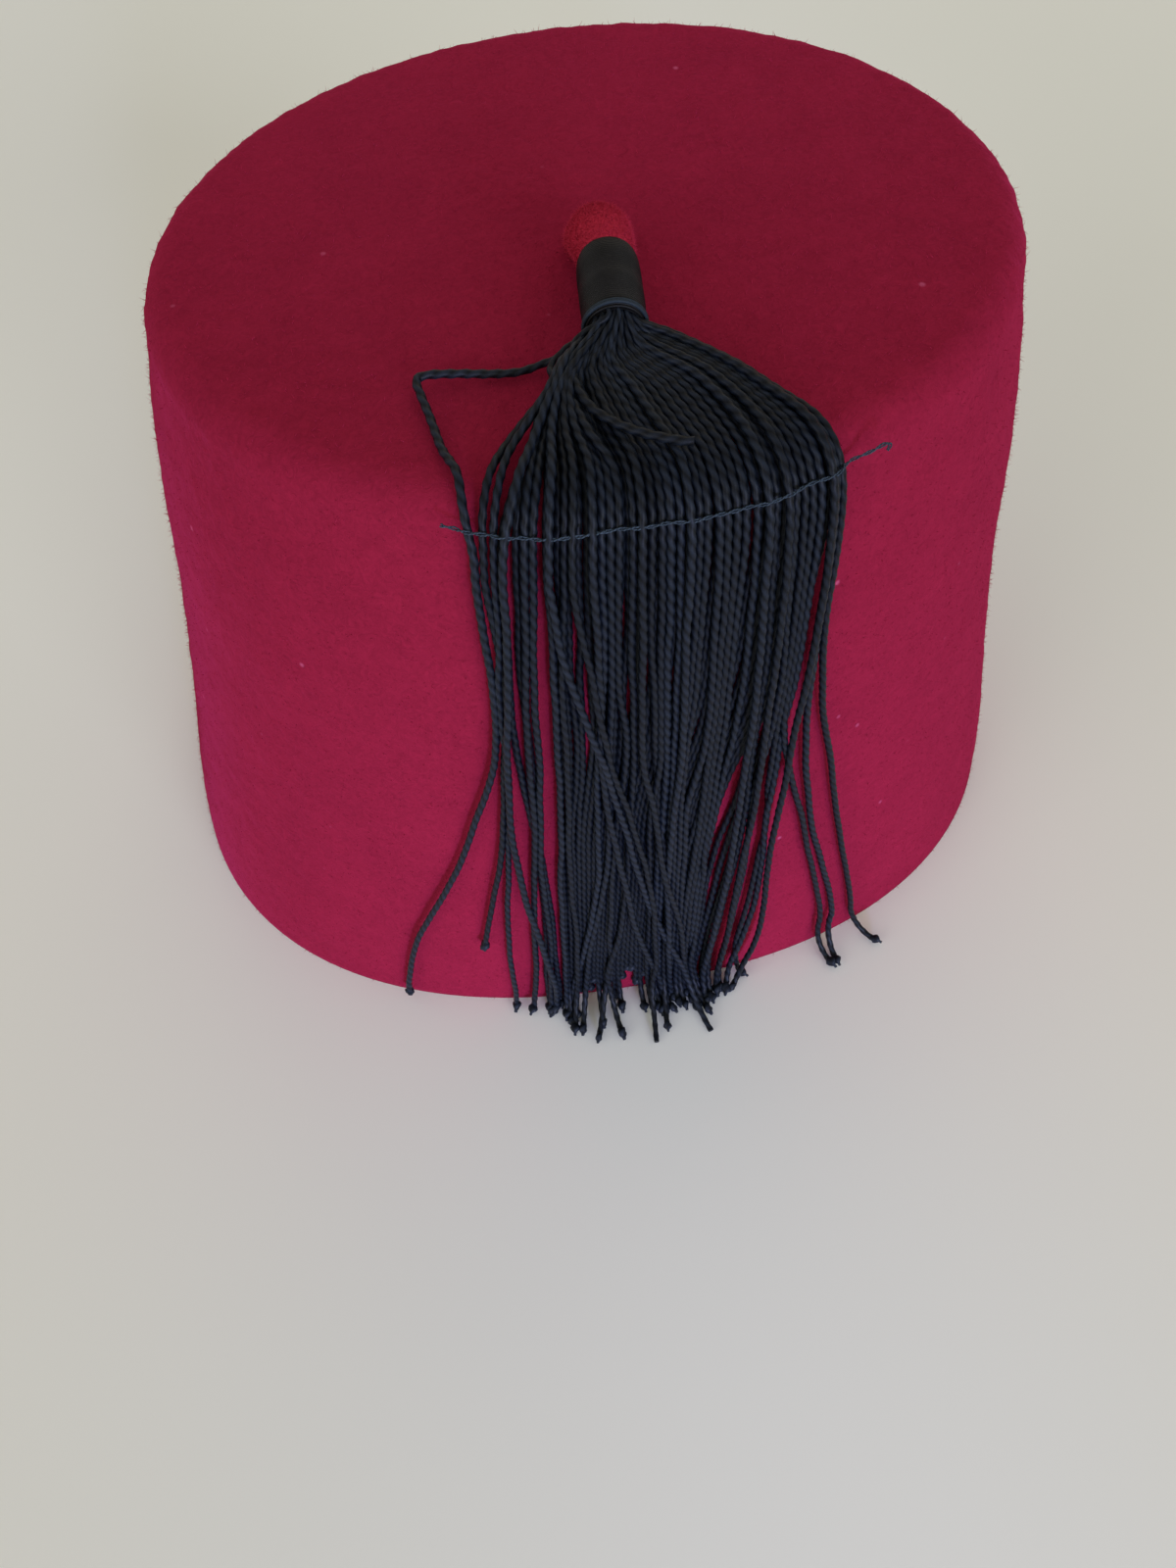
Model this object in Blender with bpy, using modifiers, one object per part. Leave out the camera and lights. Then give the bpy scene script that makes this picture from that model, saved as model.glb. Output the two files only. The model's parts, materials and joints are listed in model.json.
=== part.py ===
# Fez hat: a blocked felt crown, hollow and open below, with a short felt stem on its top.
# A tassel hangs from the stem: its bound head leans forward over the top, and its strands
# fan out over the front edge and hang down the front wall to the surface that the hat stands on.
#
# Metres, +Z up. The hat stands on z = 0. +X runs along the long axis of the oval rim, and
# the tassel hangs towards -Y. Angles round the crown are in degrees from -Y, positive
# towards +X. The origin is below the middle of the whole hat, tassel included.

import bisect
from math import cos, pi, radians, sin

import bmesh
import bpy
from mathutils import Vector

# Driving sizes of the crown
CROWN_HEIGHT = 0.1407
SHOULDER_RADIUS = 0.006
FELT_THICKNESS = 0.0025
TOP_SHIFT = 0.0051
CROWN_SEGMENTS = 64
GAP = 0.0003
SHARP_ANGLE = 50
MERGE_DISTANCE = 0.00001

# Outline of the crown. The felt swells a little below the shoulder, and the rim is squarer
# than an ellipse and a few degrees turned against the top.
CROWN_SECTIONS = (
    # height, half length, half width, squareness, turn
    (0.0000, 0.1028, 0.0830, 2.33, 0.0),
    (0.0160, 0.1002, 0.0816, 2.29, 1.0),
    (0.0450, 0.0939, 0.0780, 2.22, 2.7),
    (0.0800, 0.0871, 0.0744, 2.13, 4.8),
    (0.1000, 0.0842, 0.0730, 2.09, 6.0),
    (0.1240, 0.0796, 0.0702, 2.03, 7.5),
    (0.1347, 0.0767, 0.0686, 2.00, 8.2),
)
OUTER_HEIGHTS = (0.0, 0.008, 0.016, 0.030, 0.045, 0.0625, 0.080, 0.090, 0.100, 0.112, 0.124)
INNER_HEIGHTS = (0.0, 0.016, 0.045, 0.080, 0.100, 0.120)
SHOULDER_STEPS = 4
TOP_RINGS = (0.6, 0.25)

# Stem and binding. The binding is a sleeve whose axis runs down from the stem to its mouth.
STEM_SEGMENTS = 20
STEM_BASE = Vector((0.0066, -0.0090, CROWN_HEIGHT + GAP))
HEAD_TOP = Vector((0.0046, -0.0242, CROWN_HEIGHT + 0.0080))
HEAD_MOUTH = Vector((0.0035, -0.0385, CROWN_HEIGHT + 0.0058))
HEAD_RADIUS = 0.0050
HEAD_BORE = 0.0034
HEAD_BULGE = 0.0001
HEAD_EDGE = 0.0005
HEAD_SEGMENTS = 24
STEM_BEND = (
    # along the way from the base to the binding, rise above the straight way, radius, lean
    (0.00, 0.0000, 0.0053, 0.00),
    (0.12, 0.0018, 0.0057, 0.12),
    (0.34, 0.0025, 0.0056, 0.38),
    (0.62, 0.0019, 0.0051, 0.68),
    (0.86, 0.0008, 0.0047, 0.90),
)
PEG_DEPTH = 0.0025
PEG_RADIUS = HEAD_BORE - GAP

# Bundle of strands inside the binding, widening just past its mouth
BUNDLE_RADIUS = HEAD_BORE - GAP
BUNDLE_DEPTH = 0.0105
MOUTH_RADIUS = 0.0046
MOUTH_LENGTH = 0.0022
MOUTH_SPREAD = 0.0028

# Locks of the fringe. The reach is how far the longest comes forward of the crown's middle.
TASSEL_REACH = 0.0972
LOCK_SEGMENTS = 8
LOCK_CLEARANCE = 0.0005
FAN_HALF_THICKNESS = 0.0016
FAN_HALF_WIDTH = 0.0031
FOOT_HALF_THICKNESS = 0.0013
FOOT_HEIGHT = 0.012
LOCK_NARROWING = 0.7
FAN_EDGE = 21.0
FAN_STEPS = 7
FAN_SIDEWAYS = {
    # side: share of the sideways reach won at the mouth, and still to win at the brow
    "left": (0.25, 0.30),
    "right": (0.48, 0.10),
}
# The same two shares for the reach forward and for the fall
FAN_FORWARD = (0.22, 0.40)
FAN_FALL = (0.45, 0.10)
# Half sizes of a lock at the mouth, as shares of its half width and of the mouth's radius
MOUTH_WIDTH_SHARE = 0.55
MOUTH_THICKNESS_SHARE = 0.86
BROW_STEPS = 3
WALL_STEPS = 7
FOOT_STEPS = 4
LOCKS = (
    # stitch angle, foot angle, reach in front of the rim, half width at the foot
    (-20.0, -20.5, 0.0022, 0.0016),
    (-15.9, -15.5, 0.0040, 0.0020),
    (-11.9, -11.5, 0.0075, 0.0023),
    (-7.8, -8.0, 0.0110, 0.0025),
    (-3.7, -4.8, 0.0125, 0.0026),
    (0.3, -1.6, 0.0142, 0.0026),
    (4.4, 1.6, 0.0130, 0.0026),
    (8.5, 4.8, 0.0138, 0.0025),
    (12.5, 8.2, 0.0100, 0.0024),
    (16.6, 12.0, 0.0060, 0.0021),
    (20.6, 17.0, 0.0030, 0.0018),
)
STRAY_HALF_WIDTH = 0.0010
STRAY_HALF_THICKNESS = 0.0009
STRAYS = (
    # stitch angle, foot angle, height where it parts, reach in front of the rim, height of the end
    (-20.5, -37.0, 0.095, 0.0015, 0.000),
    (-19.5, -25.5, 0.085, 0.0, 0.021),
    (19.0, 27.0, 0.080, 0.0090, 0.000),
    (21.8, 33.3, 0.125, 0.0085, 0.000),
)

# The hat's own middle lies behind the middle of its outline by half the tassel's extra reach.
SET_BACK = (TASSEL_REACH - CROWN_SECTIONS[0][2]) / 2


def clear_scene():
    for item in list(bpy.data.objects):
        bpy.data.objects.remove(item, do_unlink=True)


def make_collection(name):
    collection = bpy.data.collections.new(name)
    bpy.context.scene.collection.children.link(collection)
    return collection


def make_material(name, colour, roughness):
    material = bpy.data.materials.new(name)
    material.use_nodes = True
    shader = material.node_tree.nodes["Principled BSDF"]
    shader.inputs["Base Color"].default_value = (*colour, 1.0)
    shader.inputs["Roughness"].default_value = roughness
    shader.inputs["Metallic"].default_value = 0.0
    return material


def crown_section(height):
    """Half length, half width, squareness and turn at a height, on a smooth curve."""
    rows = CROWN_SECTIONS
    heights = [row[0] for row in rows]
    low = min(max(bisect.bisect_right(heights, height) - 1, 0), len(rows) - 2)
    span = heights[low + 1] - heights[low]
    part = (height - heights[low]) / span

    def slope(index, column):
        before = max(index - 1, 0)
        after = min(index + 1, len(rows) - 1)
        return (rows[after][column] - rows[before][column]) / (heights[after] - heights[before])

    values = []
    for column in range(1, 5):
        start, end = rows[low][column], rows[low + 1][column]
        start_weight = (1 + 2 * part) * (1 - part) ** 2
        end_weight = part * part * (3 - 2 * part)
        start_bend = span * slope(low, column) * part * (1 - part) ** 2
        end_bend = span * slope(low + 1, column) * part * part * (1 - part)
        values.append(start * start_weight + end * end_weight + start_bend - end_bend)
    return values


def crown_radius(angle, height, inset=0.0):
    """Distance from the crown's axis to its wall, at an angle and a height."""
    half_length, half_width, squareness, turn = crown_section(height)
    bearing = radians(angle - 90 - turn)
    along = abs(cos(bearing)) / (half_length - inset)
    across = abs(sin(bearing)) / (half_width - inset)
    return (along ** squareness + across ** squareness) ** (-1 / squareness)


def crown_axis(height):
    """How far the crown's axis stands towards +X at a height."""
    return TOP_SHIFT * height / CROWN_HEIGHT


def crown_point(angle, radius, height):
    bearing = radians(angle)
    return Vector((crown_axis(height) + radius * sin(bearing), -radius * cos(bearing), height))


def crown_ring(height, inset, level, share=1.0):
    """A ring with the outline of one height, drawn in by an inset, at a level of its own."""
    ring = []
    for step in range(CROWN_SEGMENTS):
        angle = 360 * step / CROWN_SEGMENTS
        point = crown_point(angle, crown_radius(angle, height, inset) * share, level)
        ring.append(point)
    return ring


def crown_side(heights, inset, top, radius):
    """Rings of one side of the felt, from the rim up over the shoulder to the top."""
    rings = [crown_ring(height, inset, height) for height in heights]
    shoulder = top - radius
    for step in range(SHOULDER_STEPS + 1):
        turn = pi / 2 * step / SHOULDER_STEPS
        drawn_in = inset + radius * (1 - cos(turn))
        rings.append(crown_ring(shoulder, drawn_in, shoulder + radius * sin(turn)))
    for share in TOP_RINGS:
        rings.append(crown_ring(shoulder, inset + radius, top, share))
    return rings


def loft(name, rings, first_tip=None, last_tip=None):
    """A closed mesh through rings of the same count, its ends closed by a face or a tip."""
    mesh = bmesh.new()
    count = len(rings[0])
    rows = [[mesh.verts.new(point) for point in ring] for ring in rings]
    for lower, upper in zip(rows, rows[1:]):
        for step in range(count):
            following = (step + 1) % count
            mesh.faces.new((lower[step], lower[following], upper[following], upper[step]))
    for row, tip in ((rows[0], first_tip), (rows[-1], last_tip)):
        if tip is None:
            mesh.faces.new(row)
            continue
        middle = mesh.verts.new(tip)
        for step in range(count):
            mesh.faces.new((row[step], row[(step + 1) % count], middle))
    bmesh.ops.recalc_face_normals(mesh, faces=mesh.faces)
    data = bpy.data.meshes.new(name)
    mesh.to_mesh(data)
    mesh.free()
    data.shade_smooth()
    data.set_sharp_from_angle(angle=radians(SHARP_ANGLE))
    return data


def add_object(name, data, collection, frame, material=None):
    item = bpy.data.objects.new(name, data)
    collection.objects.link(item)
    item.parent = frame
    if material:
        data.materials.append(material)
    return item


def make_crown(collection, frame, material):
    """The felt, from the middle of its inner top down to the rim and up its outer side."""
    outer = crown_side(OUTER_HEIGHTS, 0.0, CROWN_HEIGHT, SHOULDER_RADIUS)
    inner = crown_side(INNER_HEIGHTS, FELT_THICKNESS, CROWN_HEIGHT - FELT_THICKNESS,
                       SHOULDER_RADIUS - FELT_THICKNESS)
    outer_tip = crown_point(0, 0, CROWN_HEIGHT)
    inner_tip = crown_point(0, 0, CROWN_HEIGHT - FELT_THICKNESS)
    data = loft("crown", inner[::-1] + outer, inner_tip, outer_tip)
    return add_object("crown", data, collection, frame, material)


def circle(centre, direction, radius, segments):
    """A ring round a direction, its first point towards +X."""
    direction = direction.normalized()
    side = (Vector((1, 0, 0)) - direction * direction.x).normalized()
    other = direction.cross(side)
    ring = []
    for step in range(segments):
        turn = 2 * pi * step / segments
        ring.append(centre + side * (radius * cos(turn)) + other * (radius * sin(turn)))
    return ring


def make_stem(collection, frame, material):
    """The stalk rises from the top, leans into the binding's upper end and pegs into its bore."""
    axis = (HEAD_MOUTH - HEAD_TOP).normalized()
    seat = HEAD_TOP - axis * GAP
    way = seat - STEM_BASE
    rings = []
    for along, rise, radius, lean in STEM_BEND:
        centre = STEM_BASE + way * along + Vector((0, 0, rise))
        direction = Vector((0, 0, 1)).slerp(axis, lean)
        rings.append(circle(centre, direction, radius, STEM_SEGMENTS))
    rings.append(circle(seat, axis, HEAD_RADIUS - GAP, STEM_SEGMENTS))
    rings.append(circle(seat, axis, PEG_RADIUS, STEM_SEGMENTS))
    rings.append(circle(seat + axis * PEG_DEPTH, axis, PEG_RADIUS, STEM_SEGMENTS))
    return add_object("stem", loft("stem", rings), collection, frame, material)


def turned(name, profile, closed, segments, collection, frame, material):
    """A turned piece on the binding's axis. Its local z runs up from the mouth to the stem."""
    mesh = bmesh.new()
    points = [mesh.verts.new((radius, 0, height)) for radius, height in profile]
    for first, second in zip(points, points[1:]):
        mesh.edges.new((first, second))
    if closed:
        mesh.edges.new((points[-1], points[0]))
    data = bpy.data.meshes.new(name)
    mesh.to_mesh(data)
    mesh.free()
    item = add_object(name, data, collection, frame, material)
    item.location = HEAD_MOUTH
    item.rotation_euler = (HEAD_TOP - HEAD_MOUTH).to_track_quat("Z", "Y").to_euler()
    screw = item.modifiers.new("turn", "SCREW")
    screw.steps = segments
    screw.render_steps = segments
    screw.use_merge_vertices = True
    screw.merge_threshold = MERGE_DISTANCE
    screw.use_smooth_shade = True
    return item


def make_head(collection, frame, material):
    """The bound thread as a sleeve, barrelled a little."""
    length = (HEAD_TOP - HEAD_MOUTH).length
    end_radius = HEAD_RADIUS - HEAD_BULGE
    profile = (
        (HEAD_BORE, length),
        (end_radius - HEAD_EDGE, length),
        (end_radius, length - HEAD_EDGE),
        (HEAD_RADIUS, length / 2),
        (end_radius, HEAD_EDGE),
        (end_radius - HEAD_EDGE, 0.0),
        (HEAD_BORE, 0.0),
    )
    return turned("tassel_head", profile, True, HEAD_SEGMENTS, collection, frame, material)


def ellipse_ring(centre, along, outward, half_width, half_thickness):
    """A lock's section: half_width across it and half_thickness along its outward side."""
    across = along.cross(outward).normalized()
    outward = across.cross(along).normalized()
    ring = []
    for step in range(LOCK_SEGMENTS):
        turn = 2 * pi * (step + 0.5) / LOCK_SEGMENTS
        aside = across * (half_width * cos(turn))
        ring.append(centre + aside + outward * (half_thickness * sin(turn)))
    return ring


def bezier(points, part):
    first, second, third, fourth = points
    rest = 1 - part
    return (first * rest ** 3 + second * (3 * rest * rest * part)
            + third * (3 * rest * part * part) + fourth * part ** 3)


def fan_stations(stitch, half_width, half_thickness):
    """Centres, outward sides and half sizes over the top, from the mouth to the brow."""
    axis = (HEAD_MOUTH - HEAD_TOP).normalized()
    flare, left_over = FAN_SIDEWAYS["right" if stitch > 0 else "left"]
    aside = MOUTH_SPREAD * stitch / FAN_EDGE
    start = HEAD_MOUTH + axis * (GAP + MOUTH_LENGTH / 2) + Vector((aside, 0, 0))
    shoulder = CROWN_HEIGHT - SHOULDER_RADIUS
    brow_radius = crown_radius(stitch, shoulder, SHOULDER_RADIUS)
    clear = LOCK_CLEARANCE + half_thickness
    brow = crown_point(stitch, brow_radius, CROWN_HEIGHT + clear)
    reach = brow - start
    guide = (start,
             start + Vector((reach.x * flare, reach.y * FAN_FORWARD[0], reach.z * FAN_FALL[0])),
             brow - Vector((reach.x * left_over, reach.y * FAN_FORWARD[1], reach.z * FAN_FALL[1])),
             brow)
    mouth_thickness = MOUTH_RADIUS * MOUTH_THICKNESS_SHARE
    mouth_width = half_width * MOUTH_WIDTH_SHARE
    stations = []
    for step in range(FAN_STEPS):
        part = step / FAN_STEPS
        centre = bezier(guide, part)
        fade = (1 - part) ** 2
        width = half_width + (mouth_width - half_width) * fade
        thickness = half_thickness + (mouth_thickness - half_thickness) * fade
        centre.z = CROWN_HEIGHT + max(centre.z - CROWN_HEIGHT, LOCK_CLEARANCE + thickness)
        stations.append((centre, Vector((0, 0, 1)), width, thickness))
    return stations


def drop_stations(stitch, foot, parting, reach, end_height, sizes):
    """Centres, outward sides and half sizes round the shoulder, down the wall and to the end.

    The angle stays at the stitch's above the parting height and reaches the foot's on the floor.
    """
    half_width, half_thickness, end_width, end_thickness = sizes
    shoulder = CROWN_HEIGHT - SHOULDER_RADIUS
    clear = LOCK_CLEARANCE + half_thickness
    outward = Vector((sin(radians(stitch)), -cos(radians(stitch)), 0))
    stations = []
    for step in range(BROW_STEPS):
        turn = pi / 2 * step / BROW_STEPS
        rounding = SHOULDER_RADIUS + clear
        radius = crown_radius(stitch, shoulder, SHOULDER_RADIUS) + rounding * sin(turn)
        level = shoulder + rounding * cos(turn)
        normal = outward * sin(turn) + Vector((0, 0, cos(turn)))
        centre = crown_point(stitch, radius, level)
        stations.append((centre, normal, half_width, half_thickness))
    lowest = max(FOOT_HEIGHT, end_height)
    for step in range(WALL_STEPS + 1):
        part = step / WALL_STEPS
        level = shoulder + (lowest - shoulder) * part
        angle = foot + (stitch - foot) * min(level / parting, 1.0)
        width = end_width + (half_width - end_width) * (1 - part) ** LOCK_NARROWING
        thickness = end_thickness + (half_thickness - end_thickness) * (1 - part)
        radius = crown_radius(angle, level) + LOCK_CLEARANCE + thickness
        normal = Vector((sin(radians(angle)), -cos(radians(angle)), 0))
        stations.append((crown_point(angle, radius, level), normal, width, thickness))
    if end_height:
        return stations
    ground = end_thickness + GAP
    start_radius = crown_radius(foot, lowest) + LOCK_CLEARANCE + end_thickness
    end_radius = crown_radius(foot, 0.0) + max(reach, LOCK_CLEARANCE + end_thickness)
    start_angle = foot + (stitch - foot) * min(lowest / parting, 1.0)
    for step in range(1, FOOT_STEPS + 1):
        turn = pi / 2 * step / FOOT_STEPS
        angle = start_angle + (foot - start_angle) * step / FOOT_STEPS
        radius = start_radius + (end_radius - start_radius) * (1 - cos(turn))
        level = lowest + (ground - lowest) * sin(turn)
        normal = Vector((sin(radians(angle)), -cos(radians(angle)), 0))
        normal = normal * cos(turn) + Vector((0, 0, sin(turn)))
        centre = crown_point(angle, radius, level)
        stations.append((centre, normal, end_width, end_thickness))
    return stations


def make_lock(name, stations, collection, frame, first_direction=None):
    """A lock through its stations. Its first section faces a direction of its own, if given."""
    centres = [station[0] for station in stations]
    rings = []
    for index, (centre, outward, half_width, half_thickness) in enumerate(stations):
        before = centres[max(index - 1, 0)]
        after = centres[min(index + 1, len(centres) - 1)]
        along = after - before
        if index == 0 and first_direction:
            along = first_direction
        rings.append(ellipse_ring(centre, along, outward, half_width, half_thickness))
    item = add_object(name, loft(name, rings), collection, frame)
    item.hide_render = True
    item.display_type = "WIRE"
    return item


def make_fringe(collection, cutters, frame, material):
    """The bundle in the binding, with every lock joined to it."""
    profile = (
        (0.0, BUNDLE_DEPTH),
        (BUNDLE_RADIUS, BUNDLE_DEPTH),
        (BUNDLE_RADIUS, -GAP),
        (MOUTH_RADIUS, -GAP),
        (MOUTH_RADIUS, -GAP - MOUTH_LENGTH),
        (0.0, -GAP - MOUTH_LENGTH),
    )
    fringe = turned("tassel_fringe", profile, False, HEAD_SEGMENTS, collection, frame, material)
    for number, (stitch, foot, reach, end_width) in enumerate(LOCKS, 1):
        sizes = (FAN_HALF_WIDTH, FAN_HALF_THICKNESS, end_width, FOOT_HALF_THICKNESS)
        stations = fan_stations(stitch, FAN_HALF_WIDTH, FAN_HALF_THICKNESS)
        stations += drop_stations(stitch, foot, CROWN_HEIGHT, reach, 0.0, sizes)
        make_lock(f"lock_{number:02}", stations, cutters, frame, HEAD_MOUTH - HEAD_TOP)
    for number, (stitch, foot, parting, reach, end_height) in enumerate(STRAYS, 1):
        sizes = (STRAY_HALF_WIDTH, STRAY_HALF_THICKNESS, STRAY_HALF_WIDTH, STRAY_HALF_THICKNESS)
        stations = drop_stations(stitch, foot, parting, reach, end_height, sizes)
        make_lock(f"stray_{number}", stations, cutters, frame)
    union = fringe.modifiers.new("locks", "BOOLEAN")
    union.operation = "UNION"
    union.solver = "EXACT"
    union.operand_type = "COLLECTION"
    union.collection = cutters
    return fringe


def main():
    clear_scene()
    hat = make_collection("fez hat")
    cutters = make_collection("fringe locks")
    frame = bpy.data.objects.new("hat_middle", None)
    frame.location = (0, SET_BACK, 0)
    hat.objects.link(frame)
    felt = make_material("red felt", (0.25, 0.013, 0.045), 0.95)
    stem_felt = make_material("stem felt", (0.24, 0.014, 0.03), 0.95)
    thread = make_material("bound thread", (0.014, 0.016, 0.022), 0.45)
    cord = make_material("twisted cord", (0.012, 0.017, 0.028), 0.6)
    make_crown(hat, frame, felt)
    make_stem(hat, frame, stem_felt)
    make_head(hat, frame, thread)
    make_fringe(hat, cutters, frame, cord)


main()
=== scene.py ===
"""Fez hat: a red felt crown with a felt stem, and a tassel of twisted cords that fans over the
front edge and hangs down the wall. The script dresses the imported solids, which it loads as a frame.

Metres, +Z up. Angles round the crown are in degrees from -Y, positive towards +X.
"""
import json
from math import cos, pi, radians, sin

import bmesh
import bpy
import numpy as np
from bpy.props import FloatProperty, FloatVectorProperty, IntProperty, PointerProperty
from mathutils import Matrix, Vector, kdtree, noise


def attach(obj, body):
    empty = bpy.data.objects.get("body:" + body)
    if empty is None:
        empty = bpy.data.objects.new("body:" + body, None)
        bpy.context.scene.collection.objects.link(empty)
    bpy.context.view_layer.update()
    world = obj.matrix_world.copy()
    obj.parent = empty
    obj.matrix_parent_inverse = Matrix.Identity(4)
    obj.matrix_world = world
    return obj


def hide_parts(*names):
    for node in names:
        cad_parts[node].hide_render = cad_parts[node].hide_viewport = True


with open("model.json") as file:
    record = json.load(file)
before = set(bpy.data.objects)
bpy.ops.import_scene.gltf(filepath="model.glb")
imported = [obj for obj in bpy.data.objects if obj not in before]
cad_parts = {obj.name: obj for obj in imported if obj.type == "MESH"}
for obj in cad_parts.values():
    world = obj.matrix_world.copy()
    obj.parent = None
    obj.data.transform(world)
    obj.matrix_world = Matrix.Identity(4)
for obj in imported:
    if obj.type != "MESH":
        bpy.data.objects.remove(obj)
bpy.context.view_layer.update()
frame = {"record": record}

bl_info = {
    "name": "Fez hat",
    "version": (1, 0, 0),
    "blender": (4, 5, 0),
    "location": "3D View > Sidebar > Fez",
    "description": "Felt fez hat with a tassel of twisted cords",
    "category": "Object",
}

MM = 0.001
SEED = 7

# How far everything stays above the floor, and how many points go round a plain circle
FLOOR_SKIN = 0.02 * MM
CIRCLE_STEPS = 40

# The crown's sizes, as its solid has them
CROWN_HEIGHT = 0.1407
SHOULDER_RADIUS = 0.006
FELT_THICKNESS = 0.0025
TOP_SHIFT = 0.0051
SET_BACK = 0.0071
SECTION_HEIGHTS = (0.0, 0.0160, 0.0450, 0.0800, 0.1000, 0.1240, 0.1347)
CROWN_SECTIONS = (
    # half length, half width, squareness, turn, from the rim up
    (0.1028, 0.0830, 2.33, 0.0),
    (0.1002, 0.0816, 2.29, 1.0),
    (0.0939, 0.0780, 2.22, 2.7),
    (0.0871, 0.0744, 2.13, 4.8),
    (0.0842, 0.0730, 2.09, 6.0),
    (0.0796, 0.0702, 2.03, 7.5),
    (0.0767, 0.0686, 2.00, 8.2),
)
SHOULDER = CROWN_HEIGHT - SHOULDER_RADIUS

# Points round the felt, and rows of them up the wall, round the shoulder and over the top
AROUND = 440
OUTER_ROWS = (104, 12, 46)
INNER_ROWS = (26, 5, 10)

# How the felt departs from its block: dents that fade out near the rim, and a waist under the
# shoulder. The fuzz is thickest at the rim and thin inside.
DENTS = (
    # height in mm, how close together, where the pattern starts
    (0.35, 22.0, (3.1, 0.0, 7.7)),
    (0.12, 150.0, (0.0, 0.0, 0.0)),
    (0.225, 390.0, (0.0, 0.0, 0.0)),
)
DENT_FREE_RIM = 6 * MM
WAIST_DEPTH = 0.25 * MM
WAIST_DROP = 7 * MM
WAIST_SPREAD = 3.2 * MM
RIM_FUZZ = 1.2
RIM_FUZZ_HEIGHT = 1.5 * MM
INNER_FUZZ = 0.12

# The stem and the binding
STEM_BASE = Vector((0.0054, SET_BACK - 0.0090, CROWN_HEIGHT + 0.0003))
HEAD_TOP = Vector((0.0046, SET_BACK - 0.0242, CROWN_HEIGHT + 0.0080))
HEAD_MOUTH = Vector((0.0035, SET_BACK - 0.0385, CROWN_HEIGHT + 0.0058))
HEAD_AXIS = (HEAD_MOUTH - HEAD_TOP).normalized()
HEAD_LENGTH = (HEAD_MOUTH - HEAD_TOP).length
HEAD_RADIUS = 0.0050
STEM_RINGS = 26
STEM_LUMPS = (
    # height in mm, how close together
    (0.16, 260.0), (0.04, 700.0),
)
STEM_BEND = (
    # along the way from the base to the binding, rise above the straight way, radius, lean
    (-0.02, 0.0000, 0.0050, 0.00),
    (0.12, 0.0018, 0.0051, 0.12),
    (0.34, 0.0025, 0.0049, 0.38),
    (0.62, 0.0019, 0.0046, 0.68),
    (0.86, 0.0008, 0.0044, 0.90),
    (1.00, 0.0000, 0.0043, 1.00),
)

# The thread wound on the binding: how deep its middle lies, and the gap that it leaves at each end.
# The lash at the mouth sits a little askew.
THREAD_DIAMETER = 0.46 * MM
THREAD_INSET = 0.24 * MM
END_GAP = 0.25 * MM
LASH_INSET = 0.1 * MM
LASH_SEAT = 0.3 * MM
LASH_TILT = 0.06

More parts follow.
